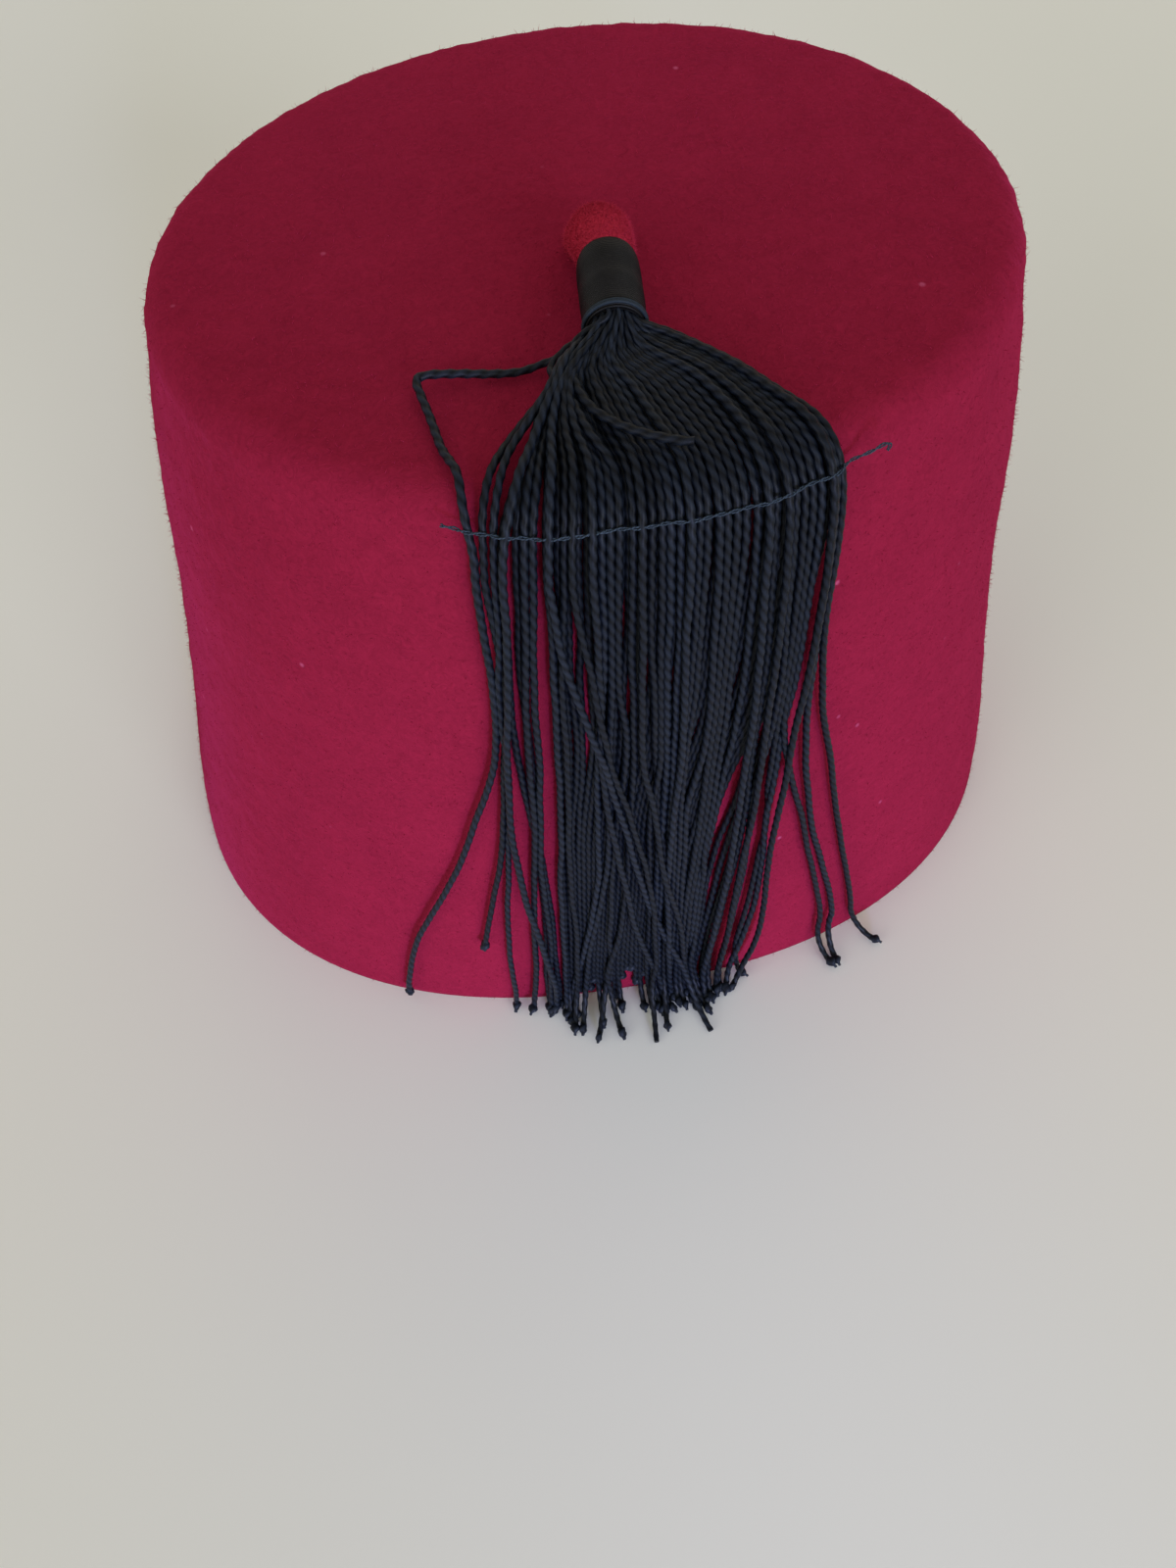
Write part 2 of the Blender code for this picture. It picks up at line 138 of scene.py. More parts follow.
# Routes of the tassel's cords down the front wall. Angles are where a cord passes each level.
ROUTE_LEVELS = (0.130, 0.110, 0.090, 0.070, 0.050, 0.030, 0.010, 0.000)
FRONT_CORDS = (
    # eight angles from the stitches down, reach in front of the rim in mm, layer, end height in mm
    ((-22.1, -20.7, -21.0, -24.1, -28.3, -32.7, -35.3, -35.6), 0.0, 1, 3),
    ((-21.1, -19.5, -19.4, -20.4, -22.0, -23.6, -24.2, -24.2), 0.0, 1, 27),
    ((-20.0, -19.9, -19.4, -20.0, -20.3, -20.4, -20.2, -20.0), 2.3, 1, 0),
    ((-18.8, -18.6, -19.0, -19.3, -18.0, -15.6, -13.9, -14.2), 2.5, 2, 0),
    ((-19.4, -19.0, -18.2, -16.6, -15.3, -14.2, -13.6, -13.2), 2.0, 0, 0),
    ((-17.6, -17.2, -16.4, -15.9, -15.6, -15.4, -15.2, -15.0), 3.0, 0, 0),
    ((-16.4, -16.6, -16.3, -16.2, -16.5, -16.8, -17.1, -17.3), 3.2, 1, 0),
    ((-15.4, -15.2, -15.0, -15.3, -15.2, -14.8, -14.6, -14.4), 4.0, 1, 0),
    ((-13.9, -13.4, -12.8, -12.8, -13.2, -12.6, -12.2, -12.0), 5.0, 1, 0),
    ((-13.6, -10.7, -7.6, -4.8, -1.7, 1.8, 5.8, 7.5), 14.5, 2, 0),
    ((-11.8, -11.9, -11.7, -11.6, -11.2, -10.8, -10.9, -11.0), 8.5, 1, 0),
    ((-10.8, -9.2, -6.6, -3.2, -0.6, 0.6, 0.8, 0.2), 14.6, 2, 0),
    ((-8.7, -8.2, -7.2, -5.6, -4.3, -1.8, 2.0, 3.5), 7.0, 2, 0),
    ((-7.6, -7.4, -7.9, -8.2, -7.9, -9.0, -11.2, -11.9), 4.5, 1, 0),
    ((-6.5, -6.2, -5.7, -5.8, -6.8, -8.4, -9.3, -9.8), 9.0, 1, 0),
    ((-5.4, -5.0, -4.6, -4.9, -5.6, -5.8, -5.6, -7.6), 11.5, 1, 0),
    ((-3.9, -3.8, -3.4, -3.2, -3.4, -4.6, -6.2, -4.3), 11.0, 1, 0),
    ((-2.9, -2.6, -1.4, 0.0, 1.6, 4.6, 5.9, 6.3), 4.2, 2, 0),
    ((-1.6, -1.2, -0.2, 0.8, 2.0, 3.0, 2.8, 1.9), 11.0, 1, 0),
    ((-0.5, -0.2, 0.0, -0.4, -0.4, 0.0, 0.2, 0.6), 6.0, 1, 0),
    ((0.6, 0.9, 1.3, 1.4, 1.2, 0.8, 1.0, 1.6), 6.0, 1, 0),
    ((1.7, 2.0, 2.2, 2.2, 2.0, 1.4, 1.8, 2.6), 7.0, 1, 0),
    ((2.8, 2.9, 3.0, 2.6, 2.4, 2.6, 3.4, 4.2), 4.5, 2, 0),
    ((4.1, 4.0, 3.6, 3.2, 3.2, 3.2, 3.0, 3.0), 5.0, 1, 0),
    ((5.2, 5.2, 5.0, 4.4, 4.2, 3.9, 3.5, 3.3), 3.5, 1, 0),
    ((6.4, 6.3, 6.0, 5.5, 5.1, 4.7, 4.3, 4.4), 6.0, 1, 0),
    ((7.5, 7.3, 7.0, 6.4, 6.0, 5.5, 5.0, 5.3), 7.0, 1, 0),
    ((8.7, 8.3, 8.0, 7.4, 6.8, 6.2, 5.9, 6.8), 8.0, 1, 0),
    ((9.9, 9.3, 9.0, 8.6, 7.8, 7.0, 6.8, 8.4), 9.0, 1, 0),
    ((11.2, 11.0, 10.6, 9.2, 7.8, 7.0, 6.8, 8.6), 6.0, 1, 0),
    ((12.4, 12.4, 12.2, 12.0, 11.6, 10.2, 8.6, 8.6), 7.0, 2, 0),
    ((13.7, 13.9, 14.1, 13.6, 12.8, 11.2, 9.4, 9.4), 6.5, 1, 0),
    ((14.2, 14.4, 14.4, 12.8, 10.2, 8.4, 7.4, 7.2), 6.0, 0, 0),
    ((15.0, 15.2, 15.3, 14.6, 13.6, 12.4, 11.0, 10.6), 5.0, 2, 0),
    ((16.2, 16.2, 16.0, 15.2, 14.4, 13.2, 11.8, 11.2), 4.4, 1, 0),
    ((17.0, 16.8, 16.2, 14.4, 11.4, 9.4, 8.0, 7.6), 2.0, 0, 0),
    ((17.5, 17.4, 17.0, 16.8, 16.6, 15.4, 14.0, 15.2), 2.8, 1, 0),
    ((18.4, 18.0, 17.2, 15.4, 12.8, 10.6, 9.2, 8.8), 4.0, 0, 0),
    ((18.6, 17.8, 17.6, 20.0, 23.4, 26.0, 27.6, 27.4), 7.6, 1, 0),
    ((19.8, 19.1, 17.9, 17.2, 16.8, 16.2, 13.8, 12.0), 5.2, 1, 0),
    ((20.9, 20.2, 19.5, 18.5, 17.6, 17.4, 15.6, 13.0), 5.4, 2, 0),
    ((21.8, 21.3, 21.4, 22.4, 24.6, 27.8, 29.6, 28.0), 7.8, 1, 0),
    ((22.8, 22.3, 23.5, 26.2, 28.7, 31.2, 33.0, 34.2), 8.0, 1, 0),
)
BACK_CORDS = 30
BACK_SIDES = (
    # outermost angles of the cords behind, at each route level
    (-14.6, -13.6, -13.0, -13.0, -12.8, -12.8, -12.4, -11.8),
    (22.0, 19.4, 15.8, 10.4, 8.8, 7.8, 6.8, 7.0),
)

# How the cords behind differ: degrees off their even places, and reaches and end heights in mm
BACK_WANDER = 0.2
BACK_REACH = (0.5, 8.5)
BACK_ENDS = (0, 0, 0, 4, 8, 12)

# Each layer's height over the felt, where a cord leaves the wall for the floor, and how high its
# middle lies there
LAYER_LIFTS = (0.0010, 0.0023, 0.0036)
FOOT_HEIGHT = 0.012
GROUND = 0.9 * MM

# Points of a route: how far apart, round the shoulder and round the foot, and the rounds that ease
# its bend at the brow, with the points before and after it that they reach
ROUTE_STEP = 1.2 * MM
SHOULDER_STEPS = 9
FOOT_STEPS = 14
EASE_ROUNDS = 10
EASED_BEFORE, EASED_AFTER = 10, 12

# The bundle in the binding's mouth: half its width, the share of it that the fan's edges reach, how
# far routes start inside and pass outside, and the lowest height of the front cords and of those
# behind, as shares of the half width
MOUTH_SPREAD = 0.0037
MOUTH_SHARE = 0.94
MOUTH_INSIDE = 2 * MM
MOUTH_OUTSIDE = 0.6 * MM
FRONT_BUNDLE, BACK_BUNDLE, BUNDLE_DEPTH = 0.15, -0.9, 0.8
GOLDEN_STEP = 0.618

# The fan: the angle of its edge, the angles at the stitches that its stations belong to, and how
# much higher each layer lies at the three stations, in mm
FAN_EDGE = 24.0
FAN_ANGLES = (-17.4, -14.0, -10.0, -5.0, 0.0, 6.0, 14.0, 24.0)
LAYER_SPREAD = (0.5, 0.9, 1.1)
FAN_STATIONS = (
    # angle at the brow, then the places over the top on the way to it, in mm from the crown's
    # middle: across, forward and raised at the first station, at the second and at the third
    (-17.6, -7.6, -48.4, 4.9, -10.3, -53.1, 3.2, -12.4, -57.0, 2.1),
    (-14.0, -6.2, -47.8, 5.2, -8.4, -52.3, 3.6, -9.7, -57.1, 2.4),
    (-10.0, -4.9, -46.8, 5.4, -6.3, -51.7, 3.8, -6.5, -57.7, 2.7),
    (-5.0, -2.7, -46.0, 5.6, -2.8, -51.5, 4.1, -2.0, -57.4, 2.9),
    (0.0, 0.1, -45.4, 5.7, 1.3, -51.1, 4.3, 3.0, -57.5, 3.0),
    (6.0, 3.7, -44.4, 5.7, 7.0, -50.1, 4.4, 9.6, -56.7, 3.1),
    (14.0, 8.2, -42.9, 5.5, 14.7, -49.3, 4.2, 18.5, -55.3, 2.9),
    (24.0, 12.5, -40.4, 5.0, 20.5, -46.2, 3.4, 27.2, -54.0, 2.3),
)

# Strands that leave the fan's order, by number: the angle at the brow, then points over the top,
# across, forward and raised, in mm from the crown's middle
LOOSE_STRANDS = {
    0: (-25.7, (
        (-3.8, -39.2, 3.6), (-7.4, -38.6, 1.9), (-11.4, -39.0, 1.2), (-16.0, -38.8, 1.4),
        (-21.0, -38.5, 2.0), (-25.6, -38.2, 2.3), (-27.2, -39.0, 2.3), (-26.9, -41.6, 2.0),
        (-26.1, -45.8, 1.5), (-25.2, -51.7, 1.0), (-24.6, -55.6, 1.0))),
    1: (-21.8, (
        (-3.4, -40.6, 5.0), (-6.2, -43.2, 5.0), (-7.3, -46.0, 4.5), (-9.2, -48.6, 3.6),
        (-11.6, -50.8, 2.8), (-14.0, -53.2, 2.2), (-16.2, -56.0, 1.6))),
    2: (-20.1, (
        (-2.6, -41.2, 6.2), (-5.4, -44.6, 6.2), (-7.2, -48.2, 5.6), (-9.3, -50.9, 4.6),
        (-11.6, -53.1, 3.6), (-13.9, -55.3, 2.9), (-15.9, -57.9, 2.3))),
    3: (-17.4, (
        (-1.8, -41.0, 6.6), (-4.4, -44.6, 6.4), (-6.4, -48.2, 5.6), (-8.3, -50.9, 4.8),
        (-10.2, -54.0, 3.8), (-11.8, -56.9, 3.0), (-13.1, -59.4, 2.2))),
    15: (-5.4, (
        (-2.8, -40.6, 6.2), (-6.6, -43.4, 5.0), (-7.0, -45.6, 4.8), (-5.8, -49.2, 4.8),
        (-4.6, -53.8, 4.8), (-3.9, -59.0, 4.6))),
}
BROKEN_STRAND = (
    (-2.6, -41.0, 6.4), (-4.2, -47.6, 5.6), (-3.0, -53.6, 5.4), (0.1, -57.8, 5.3), (3.8, -60.7, 5.2),
    (7.2, -62.4, 5.1), (10.2, -63.4, 5.0),
)
BROKEN_STITCH, BROKEN_HEIGHT = -6.0, 0.95
PARTINGS = (
    # where the front cords stand apart in locks: angle and half width in degrees
    (-14.8, 0.6), (-9.7, 1.3), (-4.9, 0.8), (-1.2, 0.7), (1.6, 0.4), (5.7, 1.3), (10.6, 0.7), (15.6, 0.6),
)
PARTED_SHARES = (0.2, 0.8, 1.0, 0.8, 0.4, 0.1, 0.0, 0.0)
PARTING_FADE = 1.4
CORD_WAVES = (
    # how far a cord wanders, its shortest and longest wave, and where the wave begins and is full, in mm
    (0.50, 45, 75, 46, 58),
    (0.14, 18, 26, 46, 58),
    (0.05, 9, 13, 8, 18),
)

# Cords are pinched where they leave the binding, as a share of their thickness, and swell over a
# length. Each differs a little.
PINCHED = 0.64
PINCHED_LENGTH = 20 * MM
THICKNESS_RANGE = (0.93, 1.07)

# How cords settle: the rounds, the smoothing in each, the part of their two radii that they keep
# apart, the share of each push, and the gap that they keep to the felt
SETTLE_ROUNDS = 18
SMOOTH_ROUNDS = 4
PRESSED_APART = 0.77
PUSH_SHARE = 0.4
FELT_GAP = 0.05 * MM

# Two cords end without a knot. A knot lies flat where its cord ends on the floor.
PLAIN_TIPS = (9, 11)
LYING_HEIGHT = 2.5 * MM
KNOT_HEIGHT = 1.35 * MM
KNOT_PROFILE = (
    # height along the cord's way and radius, in mm
    (-1.0, 0.60), (-0.6, 0.90), (0.0, 1.08), (0.6, 1.00), (1.05, 0.70), (1.3, 0.44), (2.0, 0.34),
)
KNOT_SIDES = 8
KNOT_TWIST = 2.4
KNOT_LOBES = 0.22
STITCH_ROUTE = (
    # angle, turn over the shoulder, lift where no cord carries the thread, in mm
    (-25.8, 62.0, 3.0), (-24.2, 66.0, 2.0), (-22.4, 68.0, 1.4), (-18.8, 69.0, 1.0), (-15.2, 71.0, 1.0),
    (-10.0, 68.0, 1.0), (-4.4, 66.0, 1.0), (1.2, 67.0, 1.0), (6.6, 69.0, 1.0), (11.2, 69.0, 1.0),
    (15.4, 67.0, 1.0), (19.6, 66.0, 1.0), (23.6, 63.0, 1.4), (26.2, 59.0, 3.4), (27.8, 57.0, 4.2),
    (28.5, 59.0, 4.4), (28.0, 63.0, 4.2),
)

# The two stitched threads: points along them, length of a turn round each other, half the way
# between their middles, how high they lie over the cords below, the step of their routes, how flat
# they wind, over how many points their height is evened out, and how near the cords below them are
STITCH_POINTS = 190
STITCH_TURN = 4.2 * MM
STITCH_GAP = 0.2 * MM
STITCH_LIFT = 0.85 * MM
STITCH_STEP = 0.5 * MM
STITCH_FLATNESS = 0.55
EVENED_OVER = 7
CARRIED_WITHIN = 1.1 * MM
CARRIED_BELOW = 9 * MM

# The camera, as the photograph was taken
CAMERA_PLACE = (-0.0214, -0.1804, 0.2604)
CAMERA_AZIMUTH = 6.2
CAMERA_PITCH = 58.0
CAMERA_ROLL = -3.8
CAMERA_LENS = 27.04
CAMERA_SENSOR = 36.0

# The light: a room all round, three broad lights and a soft spot on the lower wall
ROOM_COLOUR = (1.0, 0.96, 0.87, 1.0)
BROAD_LIGHTS = (
    # name, place, spread in degrees, share of the window's strength, colour
    ("window", (0.52, -1.25, 0.34), 28.0, 1.0, (0.86, 0.93, 1.0)),
    ("fill", (-1.15, -0.80, 0.38), 40.0, 0.55, (0.98, 0.98, 1.0)),
    ("back", (0.40, 1.20, 0.85), 50.0, 0.25, (1.0, 0.83, 0.62)),
)
SPOT_PLACE = (0.12, -1.25, 0.16)
SPOT_TARGET = (0.0, -0.09, 0.012)
SPOT_COLOUR = (0.45, 0.5, 1.0)
SPOT_SPREAD = 17
SPOT_SOFTNESS = 0.12
FLOOR_HALF = 4.0


def slot_colour(slot):
    """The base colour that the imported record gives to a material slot."""
    for row in frame["record"]["materials"]:
        if row["slot"] == slot:
            return tuple(row["base_color"])
    raise RuntimeError(f"no material slot {slot}")


def smooth_rows(stops, rows, at):
    """Values between the rows of a table, on a smooth curve through them."""
    stops, rows = np.asarray(stops, float), np.asarray(rows, float)
    at = np.clip(np.atleast_1d(np.asarray(at, float)), stops[0], stops[-1])
    low = np.clip(np.searchsorted(stops, at, side="right") - 1, 0, len(stops) - 2)
    span = (stops[low + 1] - stops[low])[:, None]
    part = (at[:, None] - stops[low][:, None]) / span
    before = np.maximum(np.arange(len(stops)) - 1, 0)
    after = np.minimum(np.arange(len(stops)) + 1, len(stops) - 1)
    slopes = (rows[after] - rows[before]) / (stops[after] - stops[before])[:, None]
    values = rows[low] * (1 + 2 * part) * (1 - part) ** 2
    values += rows[low + 1] * part * part * (3 - 2 * part)
    values += span * slopes[low] * part * (1 - part) ** 2
    return values - span * slopes[low + 1] * part * part * (1 - part)


def crown_radius(angle, height, inset=0.0):
    """Distance from the crown's axis to its wall, at angles and heights."""
    half_length, half_width, squareness, turn = smooth_rows(SECTION_HEIGHTS, CROWN_SECTIONS, height).T
    bearing = np.radians(angle - 90 - turn)
    along = np.abs(np.cos(bearing)) / (half_length - inset)
    across = np.abs(np.sin(bearing)) / (half_width - inset)
    return (along ** squareness + across ** squareness) ** (-1 / squareness)


def crown_points(angle, radius, height):
    angle = np.radians(angle)
    across = TOP_SHIFT * height / CROWN_HEIGHT + radius * np.sin(angle)
    return np.stack([across, SET_BACK - radius * np.cos(angle), height + 0 * radius], -1)


def outward_sides(angle, rise=0.0):
    """Unit vectors away from the crown's axis, tipped up by rise in degrees."""
    angle, rise = np.broadcast_arrays(np.radians(angle), np.radians(rise))
    return np.stack([np.sin(angle) * np.cos(rise), -np.cos(angle) * np.cos(rise), np.sin(rise)], -1)


def put(tree, kind, inputs=None, **settings):
    """Adds a node to a tree. An input is a value, or a socket or node that is linked to it."""
    node = tree.nodes.new(kind)
    for key, value in settings.items():
        setattr(node, key, value)
    for key, value in (inputs or {}).items():
        if isinstance(value, bpy.types.Node):
            value = value.outputs[0]
        if isinstance(value, bpy.types.NodeSocket):
            tree.links.new(value, node.inputs[key])
        else:
            node.inputs[key].default_value = value
    return node


def maths(tree, operation, first, second=0.0):
    """One arithmetic node."""
    return put(tree, "ShaderNodeMath", {0: first, 1: second}, operation=operation)


def product(tree, first, *others):
    for other in others:
        first = maths(tree, "MULTIPLY", first, other)
    return first


def scaled(tree, vector, factor):
    """A vector or colour times a number."""
    return put(tree, "ShaderNodeVectorMath", {0: vector, "Scale": factor}, operation="SCALE")


def attribute(tree, name, data_type="FLOAT"):
    """What a named attribute holds at each point."""
    return put(tree, "GeometryNodeInputNamedAttribute", {"Name": name}, data_type=data_type)


def at_random(tree, smallest, largest, seed):
    """A number that differs from point to point."""
    return put(tree, "FunctionNodeRandomValue", {2: smallest, 3: largest, "Seed": seed},
               data_type="FLOAT").outputs[1]


def facing(tree, way):
    """The turn that points the z axis along a way."""
    return put(tree, "FunctionNodeAlignRotationToVector", {"Vector": way}, axis="Z")


FLOAT = "NodeSocketFloat"
COUNT = "NodeSocketInt"
GEOMETRY = ("Geometry", "NodeSocketGeometry")
MATERIAL = ("Material", "NodeSocketMaterial")
COLOUR = ("Colour", "NodeSocketColor")
PATTERN = (COLOUR, ("Height", FLOAT))


def new_tree(name, inputs, outputs=(GEOMETRY,), kind="GeometryNodeTree"):
    """A node tree with named sockets. Each is a name, a socket type and, for inputs, a default."""
    tree = bpy.data.node_groups.new(name, kind)
    for label, socket_type, *default in inputs:
        socket = tree.interface.new_socket(label, in_out="INPUT", socket_type=socket_type)
        if default:
            socket.default_value = default[0]
    for label, socket_type in outputs:
        tree.interface.new_socket(label, in_out="OUTPUT", socket_type=socket_type)
    given = tree.nodes.new("NodeGroupInput")
    made = tree.nodes.new("NodeGroupOutput")
    return tree, given.outputs, made.inputs


def end_tree(tree, geometry, material, made):
    """Every geometry tree ends in real meshes that carry their material."""
    smooth = put(tree, "GeometryNodeSetShadeSmooth", {"Geometry": geometry})
    real = put(tree, "GeometryNodeRealizeInstances", {"Geometry": smooth})
    painted = put(tree, "GeometryNodeSetMaterial", {"Geometry": real, "Material": material})
    tree.links.new(painted.outputs[0], made["Geometry"])
    return tree


def shared(maker):
    """A node tree that is made once, under its function's name, and found again after."""
    name = maker.__name__.replace("_", " ")
    return bpy.data.node_groups.get(name) or maker(name)


def twisted_cords(name):
    """Twisted cords along the base mesh's edges. Its points carry thickness, phase and shade."""
    tree, given, made = new_tree(name, [
        GEOMETRY,
        ("Diameter", FLOAT, 1.42 * MM),
        ("Turn Length", FLOAT, 4.8 * MM),
        ("Rings A Turn", FLOAT, 10.0),
        ("Groove", FLOAT, 0.82),
        ("Sides", COUNT, 8),
        MATERIAL,
    ])
    routes = put(tree, "GeometryNodeMeshToCurve", {"Mesh": given["Geometry"]})
    smooth = put(tree, "GeometryNodeCurveSplineType", {"Curve": routes}, spline_type="CATMULL_ROM")
    ring_step = maths(tree, "DIVIDE", given["Turn Length"], given["Rings A Turn"])
    sampled = put(tree, "GeometryNodeResampleCurve", {"Curve": smooth, "Length": ring_step}, mode="LENGTH")
    along = put(tree, "GeometryNodeSplineParameter").outputs["Length"]
    wound = maths(tree, "ADD", maths(tree, "DIVIDE", along, given["Turn Length"]), attribute(tree, "phase"))
    twisted = put(tree, "GeometryNodeSetCurveTilt",
                  {"Curve": sampled, "Tilt": product(tree, wound, -2 * pi)})
    section = put(tree, "GeometryNodeCurvePrimitiveCircle", {"Resolution": given["Sides"], "Radius": 1.0})
    quarter = maths(tree, "DIVIDE", given["Sides"], 4.0)
    index = put(tree, "GeometryNodeInputIndex")
    past = maths(tree, "DIVIDE", maths(tree, "MODULO", index, product(tree, quarter, 2.0)), quarter)
    crest = maths(tree, "ABSOLUTE", maths(tree, "SUBTRACT", 1.0, past))
    # ply marks crest and groove; the twisted plies pattern paints shade in the groove and a highlight on the
    # crest from it
    marked = put(tree, "GeometryNodeStoreNamedAttribute",
                 {"Geometry": section, "Name": "ply", "Value": crest}, domain="POINT")
    reach = put(tree, "ShaderNodeMapRange", {"Value": crest, "To Min": given["Groove"], "To Max": 1.0})
    grooved = scaled(tree, put(tree, "GeometryNodeInputPosition"), reach)
    lobes = put(tree, "GeometryNodeSetPosition", {"Geometry": marked, "Position": grooved})
    radius = product(tree, attribute(tree, "thickness"), given["Diameter"], 0.5)
    swept = put(tree, "GeometryNodeCurveToMesh",
                {"Curve": twisted, "Profile Curve": lobes, "Scale": radius, "Fill Caps": True})
    return end_tree(tree, swept, given["Material"], made)


def felt_fuzz(name):
    """Short fibres that stand off a felt surface, thicker where its fuzz attribute is higher."""
    tree, given, made = new_tree(name, [
        GEOMETRY,
        ("Fibres A Square Metre", FLOAT, 455000.0),
        ("Fibre Length", FLOAT, 0.95 * MM),
        ("Fibre Width", FLOAT, 0.085 * MM),
        ("Lift", FLOAT, 0.45),
        ("Shortest", FLOAT, 0.45),
        ("Longest", FLOAT, 1.35),
        ("Seed", COUNT, SEED),
        MATERIAL,
    ])
    density = product(tree, attribute(tree, "fuzz"), given["Fibres A Square Metre"])
    roots = put(tree, "GeometryNodeDistributePointsOnFaces",
                {"Mesh": given["Geometry"], "Density": density, "Seed": given["Seed"]})
    fibre = put(tree, "GeometryNodeMeshCone", {
        "Vertices": 3, "Side Segments": 1, "Radius Top": 0.0,
        "Radius Bottom": product(tree, given["Fibre Width"], 0.5),
        "Depth": given["Fibre Length"]})
    wander = put(tree, "FunctionNodeRandomValue", {0: (-1.0, -1.0, -1.0), 1: (1.0, 1.0, 1.0)},
                 data_type="FLOAT_VECTOR")
    upright = scaled(tree, roots.outputs["Normal"], given["Lift"])
    way = put(tree, "ShaderNodeVectorMath", {0: wander, 1: upright}, operation="ADD")
    fibres = put(tree, "GeometryNodeInstanceOnPoints", {
        "Points": roots, "Instance": fibre, "Rotation": facing(tree, way),
        "Scale": at_random(tree, given["Shortest"], given["Longest"], 3)})
    return end_tree(tree, fibres, given["Material"], made)


def end_knots(name):
    """A copy of one knot at every point of the base mesh, along the point's way."""
    tree, given, made = new_tree(name, [
        GEOMETRY,
        ("Knot", "NodeSocketObject"),
        ("Smallest", FLOAT, 0.78),
        ("Largest", FLOAT, 1.06),
        ("Seed", COUNT, SEED),
        MATERIAL,
    ])
    knot = put(tree, "GeometryNodeObjectInfo", {"Object": given["Knot"]})
    spin = at_random(tree, 0.0, 2 * pi, given["Seed"])
    about = put(tree, "FunctionNodeAxisAngleToRotation", {"Axis": (0.0, 0.0, 1.0), "Angle": spin})
    way = facing(tree, attribute(tree, "way", "FLOAT_VECTOR"))
    rotated = put(tree, "FunctionNodeRotateRotation", {"Rotation": way, "Rotate By": about},
                  rotation_space="LOCAL")
    points = put(tree, "GeometryNodeMeshToPoints", {"Mesh": given["Geometry"]})
    placed = put(tree, "GeometryNodeInstanceOnPoints", {
        "Points": points, "Instance": knot.outputs["Geometry"], "Rotation": rotated,
        "Scale": at_random(tree, given["Smallest"], given["Largest"], 5)})
    return end_tree(tree, placed, given["Material"], made)


def wound_thread(name):
    """Thread wound in close turns on a barrel that draws in at its ends, from z = 0 up."""
    tree, given, made = new_tree(name, [
        GEOMETRY,
        ("Barrel Radius", FLOAT, 4.75 * MM),
        ("Length", FLOAT, 14.0 * MM),
        ("Turns", FLOAT, 38.0),
        ("Thread Diameter", FLOAT, THREAD_DIAMETER),
        ("Belly", FLOAT, 0.02),
        ("End Fall", FLOAT, 0.10),
        MATERIAL,
    ])
    spiral = put(tree, "GeometryNodeCurveSpiral", {
        "Resolution": 36, "Rotations": given["Turns"], "Start Radius": given["Barrel Radius"],
        "End Radius": given["Barrel Radius"], "Height": given["Length"]})
    factor = put(tree, "GeometryNodeSplineParameter").outputs["Factor"]
    middle = product(tree, maths(tree, "SUBTRACT", factor, 0.5), 2.0)
    steep = maths(tree, "POWER", maths(tree, "ABSOLUTE", middle), 8.0)
    ends = product(tree, steep, given["End Fall"])
    bow = product(tree, middle, middle, given["Belly"])
    share = maths(tree, "SUBTRACT", 1.0, maths(tree, "ADD", ends, bow))
    shape = put(tree, "ShaderNodeCombineXYZ", {"X": share, "Y": share, "Z": 1.0})
    bellied = put(tree, "ShaderNodeVectorMath", {0: put(tree, "GeometryNodeInputPosition"), 1: shape},
                  operation="MULTIPLY")
    barrel = put(tree, "GeometryNodeSetPosition", {"Geometry": spiral, "Position": bellied})
    radius = product(tree, given["Thread Diameter"], 0.5)
    section = put(tree, "GeometryNodeCurvePrimitiveCircle", {"Resolution": 6, "Radius": radius})
    swept = put(tree, "GeometryNodeCurveToMesh",
                {"Curve": barrel, "Profile Curve": section, "Fill Caps": True})
    return end_tree(tree, swept, given["Material"], made)


def grown(name, base, maker, values):
    """The plain mesh that a geometry tree makes from a base mesh, as an object at the origin."""
    carrier = piece(name + "_base", base)
    modifier = carrier.modifiers.new("grow", "NODES")
    modifier.node_group = shared(maker)
    sockets = {item.name: item.identifier for item in modifier.node_group.interface.items_tree
               if item.item_type == "SOCKET" and item.in_out == "INPUT"}
    for label, value in values.items():
        modifier[sockets[label]] = value
    graph = bpy.context.evaluated_depsgraph_get()
    mesh = bpy.data.meshes.new_from_object(
        carrier.evaluated_get(graph), preserve_all_data_layers=True, depsgraph=graph)
    bpy.data.objects.remove(carrier)
    if not len(mesh.polygons):
        raise RuntimeError(f"{name} came out empty")
    return piece(name, mesh)


def piece(name, mesh, material=None):
    mesh.name = name
    if material:
        mesh.materials.append(material)
    item = bpy.data.objects.new(name, mesh)
    bpy.context.scene.collection.objects.link(item)
    return item


def press_on_floor(item):
    """Fibres, cords and knots that would reach below the floor lie flat on it."""
    places = np.empty(len(item.data.vertices) * 3)
    item.data.vertices.foreach_get("co", places)
    places[2::3] = np.maximum(places[2::3], FLOOR_SKIN)
    item.data.vertices.foreach_set("co", places)
    item.data.update()


def finish_piece(item, slot, *nodes):
    """The piece rides with the hat and stands for its CAD nodes, which it hides. Its slot argument is not
    used.
    """
    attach(item, "root")
    if nodes:
        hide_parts(*nodes)


def turns(steps):
    return [2 * pi * step / steps for step in range(steps)]


def mark(mesh, **attributes):
    """Gives every point of a mesh its values of named attributes."""
    for label, values in attributes.items():
        mesh.attributes.new(label, "FLOAT", "POINT").data.foreach_set("value", values)


